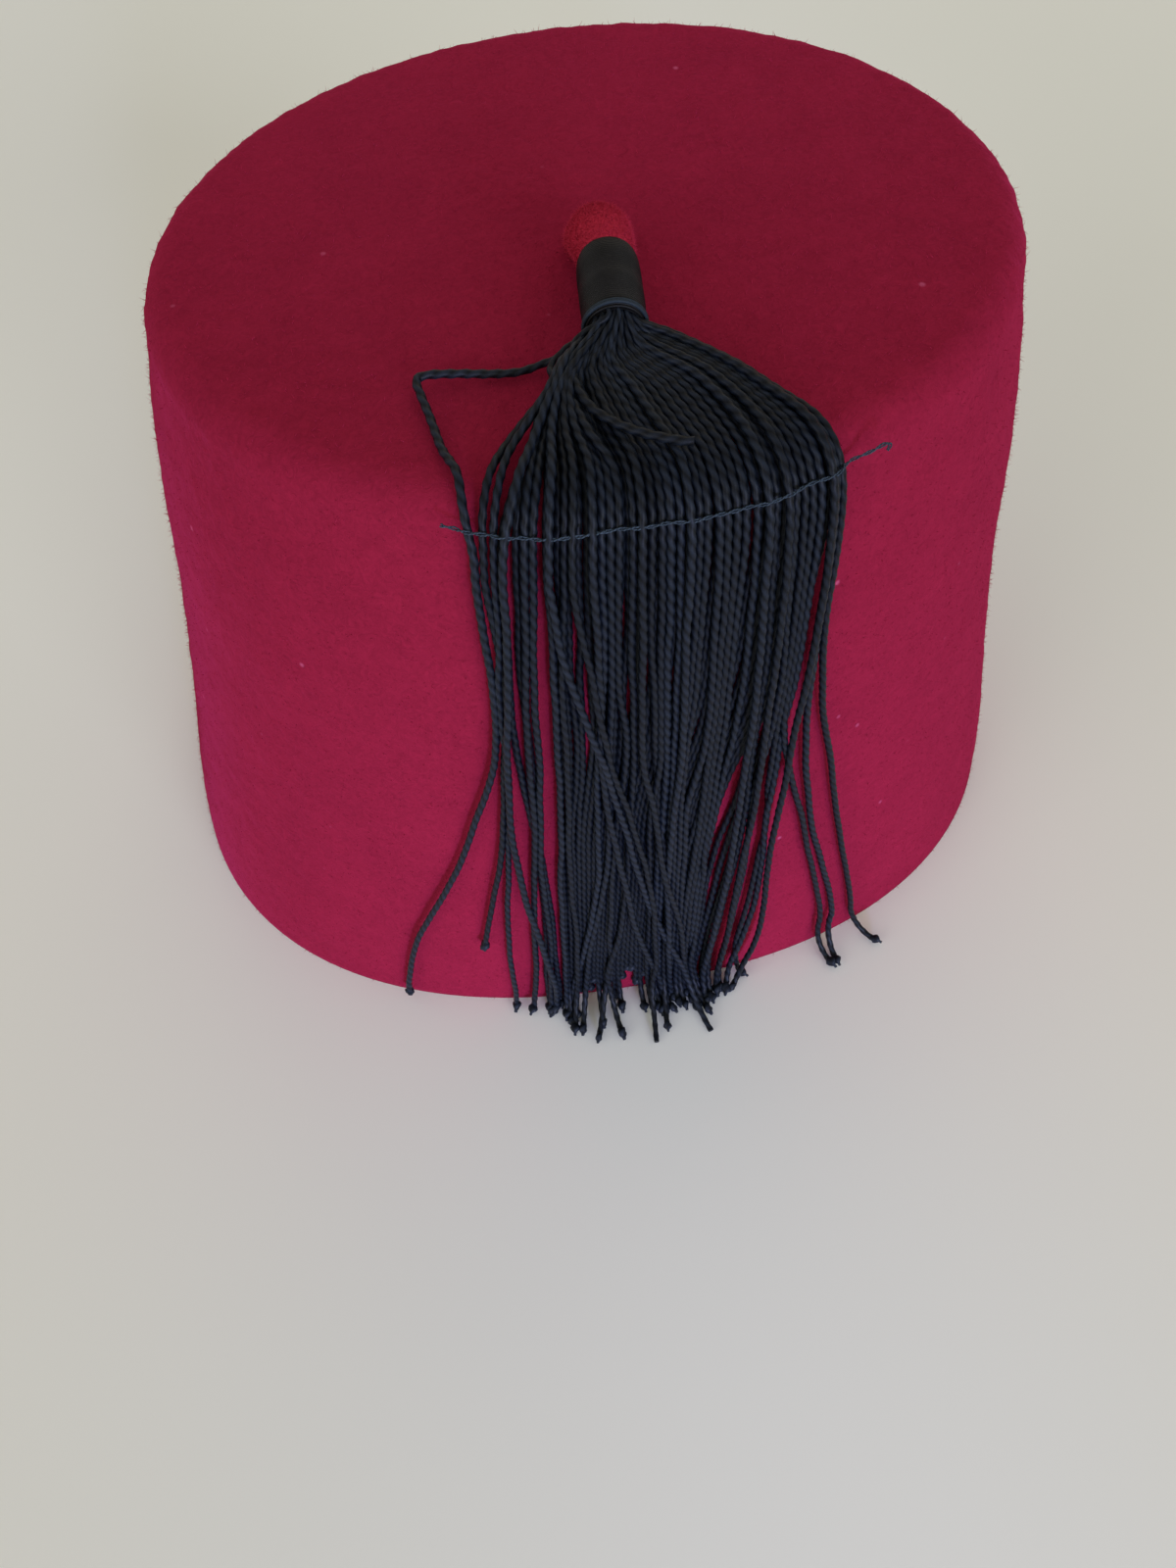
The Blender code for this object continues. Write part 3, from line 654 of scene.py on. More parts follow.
def ring_mesh(name, rings, first_tip=None, last_tip=None):
    """A closed skin through rings of the same count, with a tip or a flat face at each end."""
    rings = np.asarray(rings, float)
    rows, count = rings.shape[:2]
    points = [tuple(point) for point in rings.reshape(-1, 3)]
    lower = np.arange((rows - 1) * count).reshape(rows - 1, count)
    following = np.roll(lower, -1, axis=1)
    faces = np.stack([lower, following, following + count, lower + count], -1).reshape(-1, 4).tolist()
    for start, tip, turn in ((0, first_tip, -1), ((rows - 1) * count, last_tip, 1)):
        row = list(range(start, start + count))
        if tip is None:
            faces.append(row[::turn])
            continue
        points.append(tuple(tip))
        for step in range(count):
            pair = [row[step], row[(step + 1) % count]][::turn]
            faces.append(pair + [len(points) - 1])
    mesh = bpy.data.meshes.new(name)
    mesh.from_pydata(points, [], faces)
    mesh.shade_smooth()
    return mesh


def dented(points):
    """Felt never blocks quite true: low dents, and small lumps as the fibres bunch."""
    return np.array([sum(height * MM * noise.noise(Vector(point) * closeness + Vector(start))
                         for height, closeness, start in DENTS) for point in points])


def crown_skin():
    """Rings of the felt: up its inner side to the top's middle, and from the rim over the outside."""
    angles = np.arange(AROUND) * 360 / AROUND

    def ring(height, inset, level, share=1.0):
        radius = crown_radius(angles, height, inset) * share
        return crown_points(angles, radius, level)

    def side(inset, rows_up, rows_round, rows_over):
        radius = SHOULDER_RADIUS - inset
        rows = [ring(height, inset, height) for height in np.linspace(0.0, SHOULDER, rows_up)[:-1]]
        for turn in np.linspace(0, pi / 2, rows_round):
            rows.append(ring(SHOULDER, inset + radius * (1 - cos(turn)), SHOULDER + radius * sin(turn)))
        for share in np.linspace(1, 0, rows_over)[1:-1]:
            rows.append(ring(SHOULDER, SHOULDER_RADIUS, CROWN_HEIGHT - inset, share))
        return np.array(rows)

    return side(FELT_THICKNESS, *INNER_ROWS)[::-1], side(0.0, *OUTER_ROWS)


def crown_mesh():
    inner, outer = crown_skin()
    rings = np.concatenate([inner, outer])
    lumps = dented(rings.reshape(-1, 3))
    tips = [crown_points(np.zeros(1), np.zeros(1), level)[0]
            for level in (CROWN_HEIGHT - FELT_THICKNESS, CROWN_HEIGHT)]
    mesh = ring_mesh("crown_felt", rings, *tips)
    mesh.update()
    normals = np.array([vertex.normal for vertex in mesh.vertices])
    places = np.array([vertex.co for vertex in mesh.vertices])
    offsets = np.zeros(len(places))
    offsets[:len(lumps)] = lumps
    outside = np.zeros(len(places))
    outside[len(inner) * AROUND:] = 1.0
    outside[-len(tips)] = 0.0
    level = places[:, 2]
    offsets *= np.clip(level / DENT_FREE_RIM, 0, 1)
    waist = -WAIST_DEPTH * np.exp(-((level - SHOULDER + WAIST_DROP) / WAIST_SPREAD) ** 2)
    places += normals * (offsets + waist * outside * (level < SHOULDER))[:, None]
    places[:, 2] = np.maximum(places[:, 2], FLOOR_SKIN)
    mesh.vertices.foreach_set("co", places.ravel())
    mesh.update()
    near_rim = np.exp(-level / RIM_FUZZ_HEIGHT)
    mark(mesh, fuzz=np.where(outside > 0, 1.0 + RIM_FUZZ * near_rim, INNER_FUZZ))
    return mesh


def stem_mesh():
    alongs = [row[0] for row in STEM_BEND]
    rings = []
    for along in np.linspace(alongs[0], alongs[-1], STEM_RINGS):
        rise, radius, lean = smooth_rows(alongs, [row[1:] for row in STEM_BEND], along)[0]
        centre = STEM_BASE + (HEAD_TOP - STEM_BASE) * along + Vector((0, 0, rise))
        axis = Vector((0, 0, 1)).slerp(HEAD_AXIS, min(max(lean, 0.0), 1.0)).normalized()
        side = (Vector((1, 0, 0)) - axis * axis.x).normalized()
        other = axis.cross(side)
        ring = []
        for turn in turns(CIRCLE_STEPS):
            out = side * cos(turn) + other * sin(turn)
            place = centre + out * radius
            lump = sum(noise.noise(place * closeness) * height for height, closeness in STEM_LUMPS)
            ring.append(place + out * (lump * MM))
        rings.append(ring)
    mesh = ring_mesh("stem_felt", rings)
    mark(mesh, fuzz=np.ones(len(mesh.vertices)))
    return mesh


def head_core():
    """The sleeve under the winding, a plain turned form on the binding's axis."""
    bore, hole, outer = 3.9 * MM, 0.6 * MM, HEAD_RADIUS - 0.85 * MM
    low, middle, high = 0.2 * MM, HEAD_LENGTH * 0.5, HEAD_LENGTH - 0.2 * MM
    profile = ((bore, middle), (bore, low), (outer, low), (outer, high), (hole, high), (hole, middle))
    mesh = bmesh.new()
    rows = [[mesh.verts.new((radius * cos(turn), radius * sin(turn), height))
             for turn in turns(CIRCLE_STEPS)] for radius, height in profile]
    for lower, upper in zip(rows, rows[1:] + rows[:1]):
        for step in range(CIRCLE_STEPS):
            after = (step + 1) % CIRCLE_STEPS
            mesh.faces.new((lower[step], lower[after], upper[after], upper[step]))
    bmesh.ops.recalc_face_normals(mesh, faces=mesh.faces)
    data = bpy.data.meshes.new("binding_core")
    mesh.to_mesh(data)
    mesh.free()
    return data


def head_place():
    """From the binding's own axis, mouth at zero and z up to the stem, to the hat."""
    turn = (HEAD_TOP - HEAD_MOUTH).to_track_quat("Z", "Y").to_matrix().to_4x4()
    return Matrix.Translation(HEAD_MOUTH) @ turn


def mouth_point(stitch, up):
    """Where a cord leaves the binding, by its place in the fan and its height in the bundle."""
    across = np.clip(stitch / FAN_EDGE, -1, 1) * MOUTH_SHARE
    side = Vector((1, 0, 0))
    top = HEAD_AXIS.cross(side).normalized()
    height = up * (1 - across * across) ** 0.5
    return HEAD_MOUTH + side * (across * MOUTH_SPREAD) + top * (height * MOUTH_SPREAD)


def distances(points):
    """How far along a route each of its points lies."""
    gaps = np.linalg.norm(np.diff(points, axis=0), axis=1)
    return np.concatenate([[0], np.cumsum(gaps)])


def top_route(stitch, up, stations, brow_angle=None, lift=0.0):
    """Over the top from inside the mouth, past stations in mm, and on to the brow where the crown
    turns down, for a cord that hangs over it."""
    start = mouth_point(stitch, up)
    points = [start - HEAD_AXIS * MOUTH_INSIDE, start + HEAD_AXIS * MOUTH_OUTSIDE]
    for across, forward, raised in stations:
        points.append(Vector((across * MM, SET_BACK + forward * MM, CROWN_HEIGHT + raised * MM)))
    if brow_angle is not None:
        brow_radius = crown_radius(brow_angle, SHOULDER, SHOULDER_RADIUS)
        points.append(Vector(crown_points(brow_angle, brow_radius, CROWN_HEIGHT + lift)[0]))
    points = np.array(points)
    stops = distances(points)
    at = np.arange(0, stops[-1], ROUTE_STEP)
    return smooth_rows(stops, points, at), np.tile((0.0, 0.0, 1.0), (len(at), 1))


def parted(angles):
    """A cord's angles at the route levels, moved away from the partings between the locks."""
    angles = np.array(angles)
    moved = angles.copy()
    for middle, half in PARTINGS:
        gap = angles - middle
        moved += half * np.sign(gap) * np.exp(-np.abs(gap) / PARTING_FADE) * PARTED_SHARES
    return moved


def bundle_height(number, lowest):
    """Heights in the bundle that are spread evenly, each far from the one before."""
    return lowest + BUNDLE_DEPTH * ((number * GOLDEN_STEP) % 1)


def fan_way(stitch, layer):
    """A cord's angle at the brow and its three places over the top, by its angle at the stitches."""
    brow_angle, *places = smooth_rows(FAN_ANGLES, FAN_STATIONS, stitch)[0]
    places = np.reshape(places, (3, 3))
    places[:, 2] += (layer - 1) * np.array(LAYER_SPREAD)
    return brow_angle, places


def drop_route(angles, brow_angle, reach, lift, end_height):
    """Round the shoulder, down the wall by the angle at each level, and out over the floor."""

    def angle_at(level):
        return smooth_rows(ROUTE_LEVELS[::-1], np.array(angles)[::-1, None], level)[:, 0]

    turn = np.linspace(0, pi / 2, SHOULDER_STEPS)
    way = np.linspace(brow_angle, angles[0], SHOULDER_STEPS)
    bow = SHOULDER_RADIUS + lift
    radius = crown_radius(way, SHOULDER, SHOULDER_RADIUS) + bow * np.sin(turn)
    points = [crown_points(way, radius, SHOULDER + bow * np.cos(turn))]
    normals = [outward_sides(way, 90 - np.degrees(turn))]
    lowest = end_height or FOOT_HEIGHT
    levels = np.arange(SHOULDER, lowest, -ROUTE_STEP)[1:]
    way = angle_at(levels)
    points.append(crown_points(way, crown_radius(way, levels) + lift, levels))
    normals.append(outward_sides(way))
    if not end_height:
        start_angle, foot = angle_at(lowest), angles[-1]
        start_radius = crown_radius(start_angle, lowest)[0] + lift
        end_radius = crown_radius(foot, 0.0)[0] + max(reach, lift)
        bend = np.linspace(0, pi / 2, FOOT_STEPS)
        way = start_angle + (foot - start_angle) * np.linspace(0, 1, FOOT_STEPS)
        radius = start_radius + (end_radius - start_radius) * (1 - np.cos(bend))
        points.append(crown_points(way, radius, lowest + (GROUND - lowest) * np.sin(bend)))
        normals.append(outward_sides(way, np.degrees(bend)))
    return np.concatenate(points), np.concatenate(normals)


def eased(points, first, last):
    """The same points with the bends between two of them drawn out."""
    for _ in range(EASE_ROUNDS):
        middle = points[first:last]
        points[first:last] = middle / 2 + (points[first - 1:last - 1] + points[first + 1:last + 1]) / 4
    return points


def even_steps(points, normals, step):
    """The same route with its points a fixed step apart, and how far along it they lie."""
    stops = distances(points)
    at = np.linspace(0, stops[-1], max(int(stops[-1] / step), 4))
    points, normals = (np.stack([np.interp(at, stops, rows[:, axis]) for axis in range(3)], -1)
                       for rows in (points, normals))
    return points, normals, at


def cord_plans(random):
    """For every cord: its angles, angle at the brow, reach, layer, end height, place in the bundle
    and stations over the top."""
    plans = []
    for number, (angles, reach, layer, end_height) in enumerate(FRONT_CORDS):
        brow_angle, stations = LOOSE_STRANDS.get(number) or fan_way(angles[0], layer)
        plans.append((parted(angles), brow_angle, reach * MM, layer, end_height * MM,
                      bundle_height(number, FRONT_BUNDLE), stations))
    left, right = (np.array(side) for side in BACK_SIDES)
    for number in range(BACK_CORDS):
        share = (number + 0.5) / BACK_CORDS
        angles = left + (right - left) * share + random.normal(0, BACK_WANDER, len(left))
        reach = random.uniform(*BACK_REACH) * MM
        end_height = random.choice(BACK_ENDS) * MM
        plans.append((angles, angles[0], reach, 0, end_height, bundle_height(number, BACK_BUNDLE),
                      fan_way(angles[0], 0)[1]))
    return plans


def cord_routes(settings):
    """Every cord's centreline, with the outward side and the share of full thickness at its points."""
    random = np.random.default_rng(SEED)
    routes = []
    for angles, brow_angle, reach, layer, end_height, up, stations in cord_plans(random):
        lift = LAYER_LIFTS[layer]
        fan, fan_sides = top_route(angles[0], up, stations, brow_angle, lift)
        drop, drop_sides = drop_route(angles, brow_angle, reach, lift, end_height)
        points = eased(np.concatenate([fan, drop]), len(fan) - EASED_BEFORE, len(fan) + EASED_AFTER)
        routes.append((points, np.concatenate([fan_sides, drop_sides])))
    routes.append(top_route(BROKEN_STITCH, BROKEN_HEIGHT, BROKEN_STRAND))
    made = []
    for points, sides in routes:
        points, sides, at = even_steps(points, sides, ROUTE_STEP)
        along = np.gradient(points, axis=0)
        along /= np.linalg.norm(along, axis=1)[:, None]
        sides -= along * (sides * along).sum(1)[:, None]
        sides /= np.linalg.norm(sides, axis=1)[:, None]
        wave = 0.0
        for start, (height, shortest, longest, held, free) in zip(random.uniform(0, 2 * pi, 3), CORD_WAVES):
            length = random.uniform(shortest, longest) * MM
            loose = np.clip((at - held * MM) / ((free - held) * MM), 0, 1)
            wave += height * np.sin(at / length * 2 * pi + start) * loose
        points = points + np.cross(along, sides) * (wave * settings.waviness * MM)[:, None]
        swell = PINCHED + (1 - PINCHED) * np.clip(at / PINCHED_LENGTH, 0, 1)
        thickness = swell * random.uniform(*THICKNESS_RANGE)
        made.append([points, sides, thickness])
    return made


def settle(routes, diameter):
    """Pushes cords apart until they lie beside and on each other, outside the crown and the floor."""
    places = np.concatenate([route[0] for route in routes])
    radii = np.concatenate([route[2] for route in routes]) * diameter / 2
    owner = np.concatenate([np.full(len(route[0]), number) for number, route in enumerate(routes)])
    starts = places.copy()
    same_before = np.concatenate([[False], owner[1:] == owner[:-1]])
    same_after = np.roll(same_before, -1)
    for _ in range(SETTLE_ROUNDS):
        tree = kdtree.KDTree(len(places))
        for index, place in enumerate(places):
            tree.insert(place, index)
        tree.balance()
        pushes = np.zeros_like(places)
        for index, place in enumerate(places):
            for other_place, other, distance in tree.find_range(place, diameter):
                if owner[other] == owner[index] or distance < 1e-9:
                    continue
                need = (radii[index] + radii[other]) * PRESSED_APART
                if distance < need:
                    way = (place - np.array(other_place)) / distance
                    pushes[index] += way * (need - distance) * PUSH_SHARE
        moved = places + pushes - starts
        for _ in range(SMOOTH_ROUNDS):
            before = np.where(same_before[:, None], np.roll(moved, 1, axis=0), moved)
            after = np.where(same_after[:, None], np.roll(moved, -1, axis=0), moved)
            moved = moved * 0.5 + (before + after) * 0.25
        places = keep_clear(starts + moved, radii + FELT_GAP)
    sizes = np.cumsum([len(route[0]) for route in routes])[:-1]
    for route, settled in zip(routes, np.split(places, sizes)):
        route[0] = settled


def keep_clear(places, clearances):
    """Moves points that come closer to the crown or the floor than their clearance."""
    places = places.copy()
    places[:, 2] = np.maximum(places[:, 2], clearances)
    across = places[:, 0] - TOP_SHIFT * places[:, 2] / CROWN_HEIGHT
    forward = SET_BACK - places[:, 1]
    angle = np.degrees(np.arctan2(across, forward))
    radius = np.hypot(across, forward)
    level = places[:, 2].copy()
    wall = crown_radius(angle, np.minimum(level, SHOULDER)) + clearances
    core = crown_radius(angle, SHOULDER, SHOULDER_RADIUS)
    out = outward_sides(angle)
    on_wall = (level < SHOULDER) & (radius < wall)
    places += out * np.where(on_wall, wall - radius, 0.0)[:, None]
    on_top = (level >= SHOULDER) & (radius < core)
    places[:, 2] = np.where(on_top, np.maximum(level, CROWN_HEIGHT + clearances), level)
    over, aside = places[:, 2] - SHOULDER, radius - core
    distance = np.hypot(over, aside)
    need = SHOULDER_RADIUS + clearances
    on_edge = (level >= SHOULDER) & (radius >= core) & (distance < need)
    grow = np.where(on_edge, need / np.maximum(distance, 1e-6), 1.0)
    places += out * (aside * (grow - 1))[:, None]
    places[:, 2] += over * (grow - 1)
    return places


def route_mesh(name, routes, number, painted_shade_cap=1.0):
    """Edges along the routes, with what the cord tree reads at their points."""
    random = np.random.default_rng(SEED + number)
    points, edges, thickness, phases, shades = [], [], [], [], []
    for places, _, share in routes:
        start = len(points)
        points += [tuple(place) for place in places]
        edges += [(start + step, start + step + 1) for step in range(len(places) - 1)]
        thickness += list(share)
        phases += [random.uniform(0, 1)] * len(places)
        # A cord's tone is random up to the cap; a low cap paints shade on cords that lie deep in the tassel
        shades += [random.uniform(0, painted_shade_cap)] * len(places)
    mesh = bpy.data.meshes.new(name)
    mesh.from_pydata(points, edges, [])
    mark(mesh, thickness=thickness, phase=phases, shade=shades)
    return mesh


def knot_mesh():
    """A tight knot of the two plies with a short blunt end, along z from the cord's end."""
    rings, plies = [], []
    for height, radius in KNOT_PROFILE:
        ring = []
        for turn in turns(KNOT_SIDES):
            crest = cos(2 * turn - KNOT_TWIST * height)
            plies.append(0.6 + 0.4 * crest)
            out = radius * (1 + KNOT_LOBES * crest) * MM
            ring.append((out * cos(turn), out * sin(turn), height * MM))
        rings.append(ring)
    mesh = ring_mesh("end_knot", rings)
    # ply drives the cord material's painted shade in the grooves and painted highlight on the lobes
    mark(mesh, ply=plies, shade=[0.9] * len(plies))
    return mesh


def stitch_routes(cords):
    """Two fine threads that wind round each other on top of the cords, with a free tail at each end."""
    places = np.concatenate([route[0] for route in cords])
    spans = np.arange(len(STITCH_ROUTE), dtype=float)
    angle, turn, lift = smooth_rows(spans, STITCH_ROUTE, np.linspace(0, spans[-1], STITCH_POINTS)).T
    core = crown_radius(angle, SHOULDER, SHOULDER_RADIUS)
    sides = outward_sides(angle, 90 - turn)
    base = crown_points(angle, core, SHOULDER) + sides * SHOULDER_RADIUS
    raised = []
    for point, side, own in zip(base, sides, lift * MM):
        gap = places - point
        height = gap @ side
        aside = np.linalg.norm(gap - height[:, None] * side, axis=1)
        under = height[(aside < CARRIED_WITHIN) & (height < CARRIED_BELOW)]
        raised.append(max(own, under.max() + STITCH_LIFT) if len(under) else own)
    window = np.ones(EVENED_OVER) / EVENED_OVER
    raised = np.convolve(np.pad(raised, EVENED_OVER // 2, mode="edge"), window, mode="valid")
    middle = base + sides * raised[:, None]
    along = np.gradient(middle, axis=0)
    gaps = np.linalg.norm(along, axis=1)
    across = np.cross(along / gaps[:, None], sides)
    made = []
    for half in (0.0, pi):
        wind = (np.cumsum(gaps) / STITCH_TURN * 2 * pi + half)[:, None]
        points = middle + (sides * STITCH_FLATNESS * np.sin(wind) + across * np.cos(wind)) * STITCH_GAP
        points, turned, _ = even_steps(points, sides, STITCH_STEP)
        made.append([points, turned, np.ones(len(points))])
    return made


FELT_SHEEN = (0.36, (1.0, 0.08, 0.26))
LINT_COLOUR = (0.44, 0.07, 0.15, 1.0)


def object_coordinates(tree):
    return put(tree, "ShaderNodeTexCoord").outputs["Object"]


def end_pattern(tree, colour, height, made):
    """Every pattern gives out a colour and a height."""
    tree.links.new(colour, made["Colour"])
    tree.links.new(height, made["Height"])
    return tree


def felted_fibres(name):
    """A colour that varies from tuft to tuft, with rare specks of lint, and the matted hairs' height."""
    tree, given, made = new_tree(name, [
        COLOUR,
        ("Fibre Scale", FLOAT, 620.0),
        ("Mottle Scale", FLOAT, 70.0),
        ("Contrast", FLOAT, 0.3),
        ("Lint", FLOAT, 0.0),
    ], PATTERN, "ShaderNodeTree")
    place = object_coordinates(tree)
    hairs = put(tree, "ShaderNodeTexNoise", {
        "Vector": place, "Scale": given["Fibre Scale"], "Detail": 4.0, "Roughness": 0.65, "Distortion": 1.8})
    mats = put(tree, "ShaderNodeTexNoise", {
        "Vector": place, "Scale": given["Mottle Scale"], "Detail": 5.0, "Roughness": 0.6})
    tone = maths(tree, "ADD", product(tree, maths(tree, "SUBTRACT", hairs, 0.5), 2.2),
                 product(tree, maths(tree, "SUBTRACT", mats, 0.5), 0.9))
    gain = maths(tree, "ADD", 1.0, product(tree, tone, given["Contrast"]))
    specks = put(tree, "ShaderNodeTexVoronoi", {"Vector": place, "Scale": 200.0})
    tiny = put(tree, "ShaderNodeMapRange", {
        "Value": specks.outputs["Distance"], "From Min": 0.14, "From Max": 0.05})
    chance = put(tree, "ShaderNodeSeparateColor", {0: specks.outputs["Color"]})
    lint = product(tree, tiny, maths(tree, "GREATER_THAN", chance, 0.95), given["Lint"])
    mixed = put(tree, "ShaderNodeMix", {
        0: lint, 6: scaled(tree, given["Colour"], gain), 7: LINT_COLOUR}, data_type="RGBA")
    height = maths(tree, "ADD", hairs, product(tree, mats, 0.5))
    return end_pattern(tree, mixed.outputs[2], height.outputs[0], made)


def twisted_plies(name):
    """Twisted plies: painted shade in the groove between them and a painted highlight on their crests, each
    cord a little its own tone.
    """
    tree, given, made = new_tree(name, [
        COLOUR,
        ("Groove Darkness", FLOAT, 0.72),
        ("Cord Variety", FLOAT, 0.6),
    ], PATTERN, "ShaderNodeTree")
    crest, own = (put(tree, "ShaderNodeAttribute", attribute_name=label).outputs["Fac"]
                  for label in ("ply", "shade"))
    yarn = put(tree, "ShaderNodeTexNoise", {
        "Vector": object_coordinates(tree), "Scale": 2600.0, "Detail": 2.0, "Distortion": 0.6})
    # Painted light along the ply: the groove's colour is cut down as painted shade, and the crest's is raised
    # up to 1.6 times as a painted highlight
    ply_painted_light = put(tree, "ShaderNodeMapRange", {
        "Value": crest, "To Min": maths(tree, "SUBTRACT", 1.0, given["Groove Darkness"]), "To Max": 1.6})
    tone = product(tree, maths(tree, "SUBTRACT", own, 0.5), given["Cord Variety"])
    hair = maths(tree, "ADD", 0.7, product(tree, yarn, 0.6))
    gain = product(tree, ply_painted_light, maths(tree, "ADD", 1.0, tone), hair)
    return end_pattern(tree, scaled(tree, given["Colour"], gain).outputs[0], yarn.outputs[0], made)


def times(colour, factor):
    """A colour made lighter or darker."""
    return tuple(part * factor for part in colour)


def fabric(name, colour, pattern, values, bump, roughness, specular=0.0, sheen=0.0, sheen_tint=(1, 1, 1)):
    """A fabric: the shared pattern gives colour and height, and the constants sit on the shader."""
    if name in bpy.data.materials:
        return bpy.data.materials[name]
    material = bpy.data.materials.new(name)
    material.use_nodes = True
    tree = material.node_tree
    shader = tree.nodes["Principled BSDF"]
    weave = put(tree, "ShaderNodeGroup", {"Colour": (*colour, 1.0), **values}, node_tree=shared(pattern))
    strength, depth = bump
    raised = put(tree, "ShaderNodeBump", {
        "Strength": strength, "Distance": depth * MM, "Height": weave.outputs["Height"]})
    tree.links.new(weave.outputs["Colour"], shader.inputs["Base Color"])
    tree.links.new(raised.outputs[0], shader.inputs["Normal"])
    for label, value in (("Roughness", roughness), ("Specular IOR Level", specular), ("Sheen Weight", sheen),
                         ("Sheen Roughness", 0.35), ("Sheen Tint", (*sheen_tint, 1.0))):
        shader.inputs[label].default_value = value
    return material


def crown_material(settings):
    return fabric("red felt", settings.felt_colour, felted_fibres,
                  {"Fibre Scale": 620.0, "Mottle Scale": 70.0, "Contrast": 0.32, "Lint": 1.0},
                  (0.5, 0.4), 0.95, 0.0, *FELT_SHEEN)


# The fuzz is 1.5 times lighter than the felt: painted light for the glow of backlit fibres at the felt's edge
def fuzz_material(settings):
    return fabric("felt fuzz", times(settings.felt_colour, 1.5), felted_fibres,
                  {"Fibre Scale": 300.0, "Mottle Scale": 40.0, "Contrast": 0.3},
                  (0.0, 0.1), 0.9, 0.0, *FELT_SHEEN)


def stem_material(settings):
    return fabric("brushed red felt", times(settings.stem_colour, 1.95), felted_fibres,
                  {"Fibre Scale": 520.0, "Mottle Scale": 160.0, "Contrast": 0.3},
                  (0.15, 0.3), 0.95, 0.0, 0.3, (1.0, 0.06, 0.2))


def cord_material(settings):
    return fabric("twisted cord", times(settings.cord_colour, 0.57), twisted_plies,
                  {"Groove Darkness": 0.72, "Cord Variety": 0.6}, (0.25, 0.08), 0.45, 0.15)


def stitch_material(settings):
    return fabric("stitch thread", settings.stitch_colour, twisted_plies,
                  {"Groove Darkness": 0.35, "Cord Variety": 0.1}, (0.2, 0.06), 0.5, 0.15)


def binding_material(settings):
    return fabric("wound thread", settings.thread_colour, felted_fibres,
                  {"Fibre Scale": 1100.0, "Mottle Scale": 260.0, "Contrast": 0.9}, (0.3, 0.1), 0.5, 0.2)


def colour_choice(name, description, default):
    return FloatVectorProperty(name=name, description=description, subtype="COLOR", size=3,
                               min=0.0, max=1.0, default=default)


def number_choice(name, description, default, unit="NONE"):
    return FloatProperty(name=name, description=description, unit=unit, default=default)


class FezCrownSettings(bpy.types.PropertyGroup):
    """Sizes and colours of the felt."""

    felt_colour: colour_choice("Felt colour", "Base colour of the crown's felt", (0.254, 0.0125, 0.0375))
    stem_colour: colour_choice("Stem colour", "Base colour of the stem's felt", slot_colour("stem_felt"))
    fibre_length: number_choice(
        "Fibre length", "Length of the fibres that stand off the felt", 0.95 * MM, "LENGTH")
    fibre_width: number_choice("Fibre width", "Width of a fibre at its root", 0.085 * MM, "LENGTH")
    fibre_density: number_choice("Fibre density", "Fibres on a square metre of felt", 455000.0)


class FezTasselSettings(bpy.types.PropertyGroup):
    """Sizes and colours of the tassel."""

    cord_colour: colour_choice(
        "Cord colour", "Base colour of the twisted cords", slot_colour("twisted_cord"))
    thread_colour: colour_choice(
        "Binding colour", "Base colour of the wound thread", (0.0055, 0.0052, 0.006))
    stitch_colour: colour_choice(
        "Stitch colour", "Base colour of the thread across the fan", (0.03, 0.045, 0.065))
    cord_diameter: number_choice("Cord diameter", "Width of a cord across both plies", 1.42 * MM, "LENGTH")
    turn_length: number_choice(
        "Turn length", "Length in which the two plies turn once round each other", 4.8 * MM, "LENGTH")
    waviness: number_choice("Waviness", "How far the cords wander from their way, as a share", 0.5)
    winding_turns: IntProperty(
        name="Winding turns", description="Turns of thread round the tassel's head", default=38)


class FezStageSettings(bpy.types.PropertyGroup):
    """Floor and light."""

    floor_colour: colour_choice("Floor colour", "Base colour of the floor", (0.885, 0.9, 0.85))
    window_strength: number_choice("Window light", "Strength of the broad light from the front", 1.12)
    low_power: number_choice("Low light", "Power of the soft spot on the lower wall", 62.0, "POWER")
    sky_strength: number_choice("Room light", "Strength of the even light from all round", 0.48)


class FEZ_OT_crown(bpy.types.Operator):
    """Builds the felt crown and its fuzz"""

    bl_idname = "fez.crown"
    bl_label = "Crown"

    def execute(self, context):
        settings = context.scene.fez_crown
        felt = piece("crown_felt", crown_mesh(), crown_material(settings))
        fuzz = grown("crown_fuzz", felt.data.copy(), felt_fuzz, {
            "Fibres A Square Metre": settings.fibre_density, "Fibre Length": settings.fibre_length,
            "Fibre Width": settings.fibre_width, "Material": fuzz_material(settings)})
        press_on_floor(fuzz)
        finish_piece(felt, "crown_felt", "crown")
        finish_piece(fuzz, "crown_felt")
        return {"FINISHED"}


class FEZ_OT_stem(bpy.types.Operator):
    """Builds the fuzzy felt stem"""

    bl_idname = "fez.stem"
    bl_label = "Stem"

    def execute(self, context):
        material = stem_material(context.scene.fez_crown)
        stem = piece("stem_felt", stem_mesh(), material)
        fuzz = grown("stem_fuzz", stem.data.copy(), felt_fuzz, {
            "Fibres A Square Metre": 18000000.0, "Fibre Length": 0.9 * MM, "Fibre Width": 0.07 * MM,
            "Lift": 0.7, "Material": material})
        finish_piece(stem, "stem_felt", "stem")
        finish_piece(fuzz, "stem_felt")
        return {"FINISHED"}


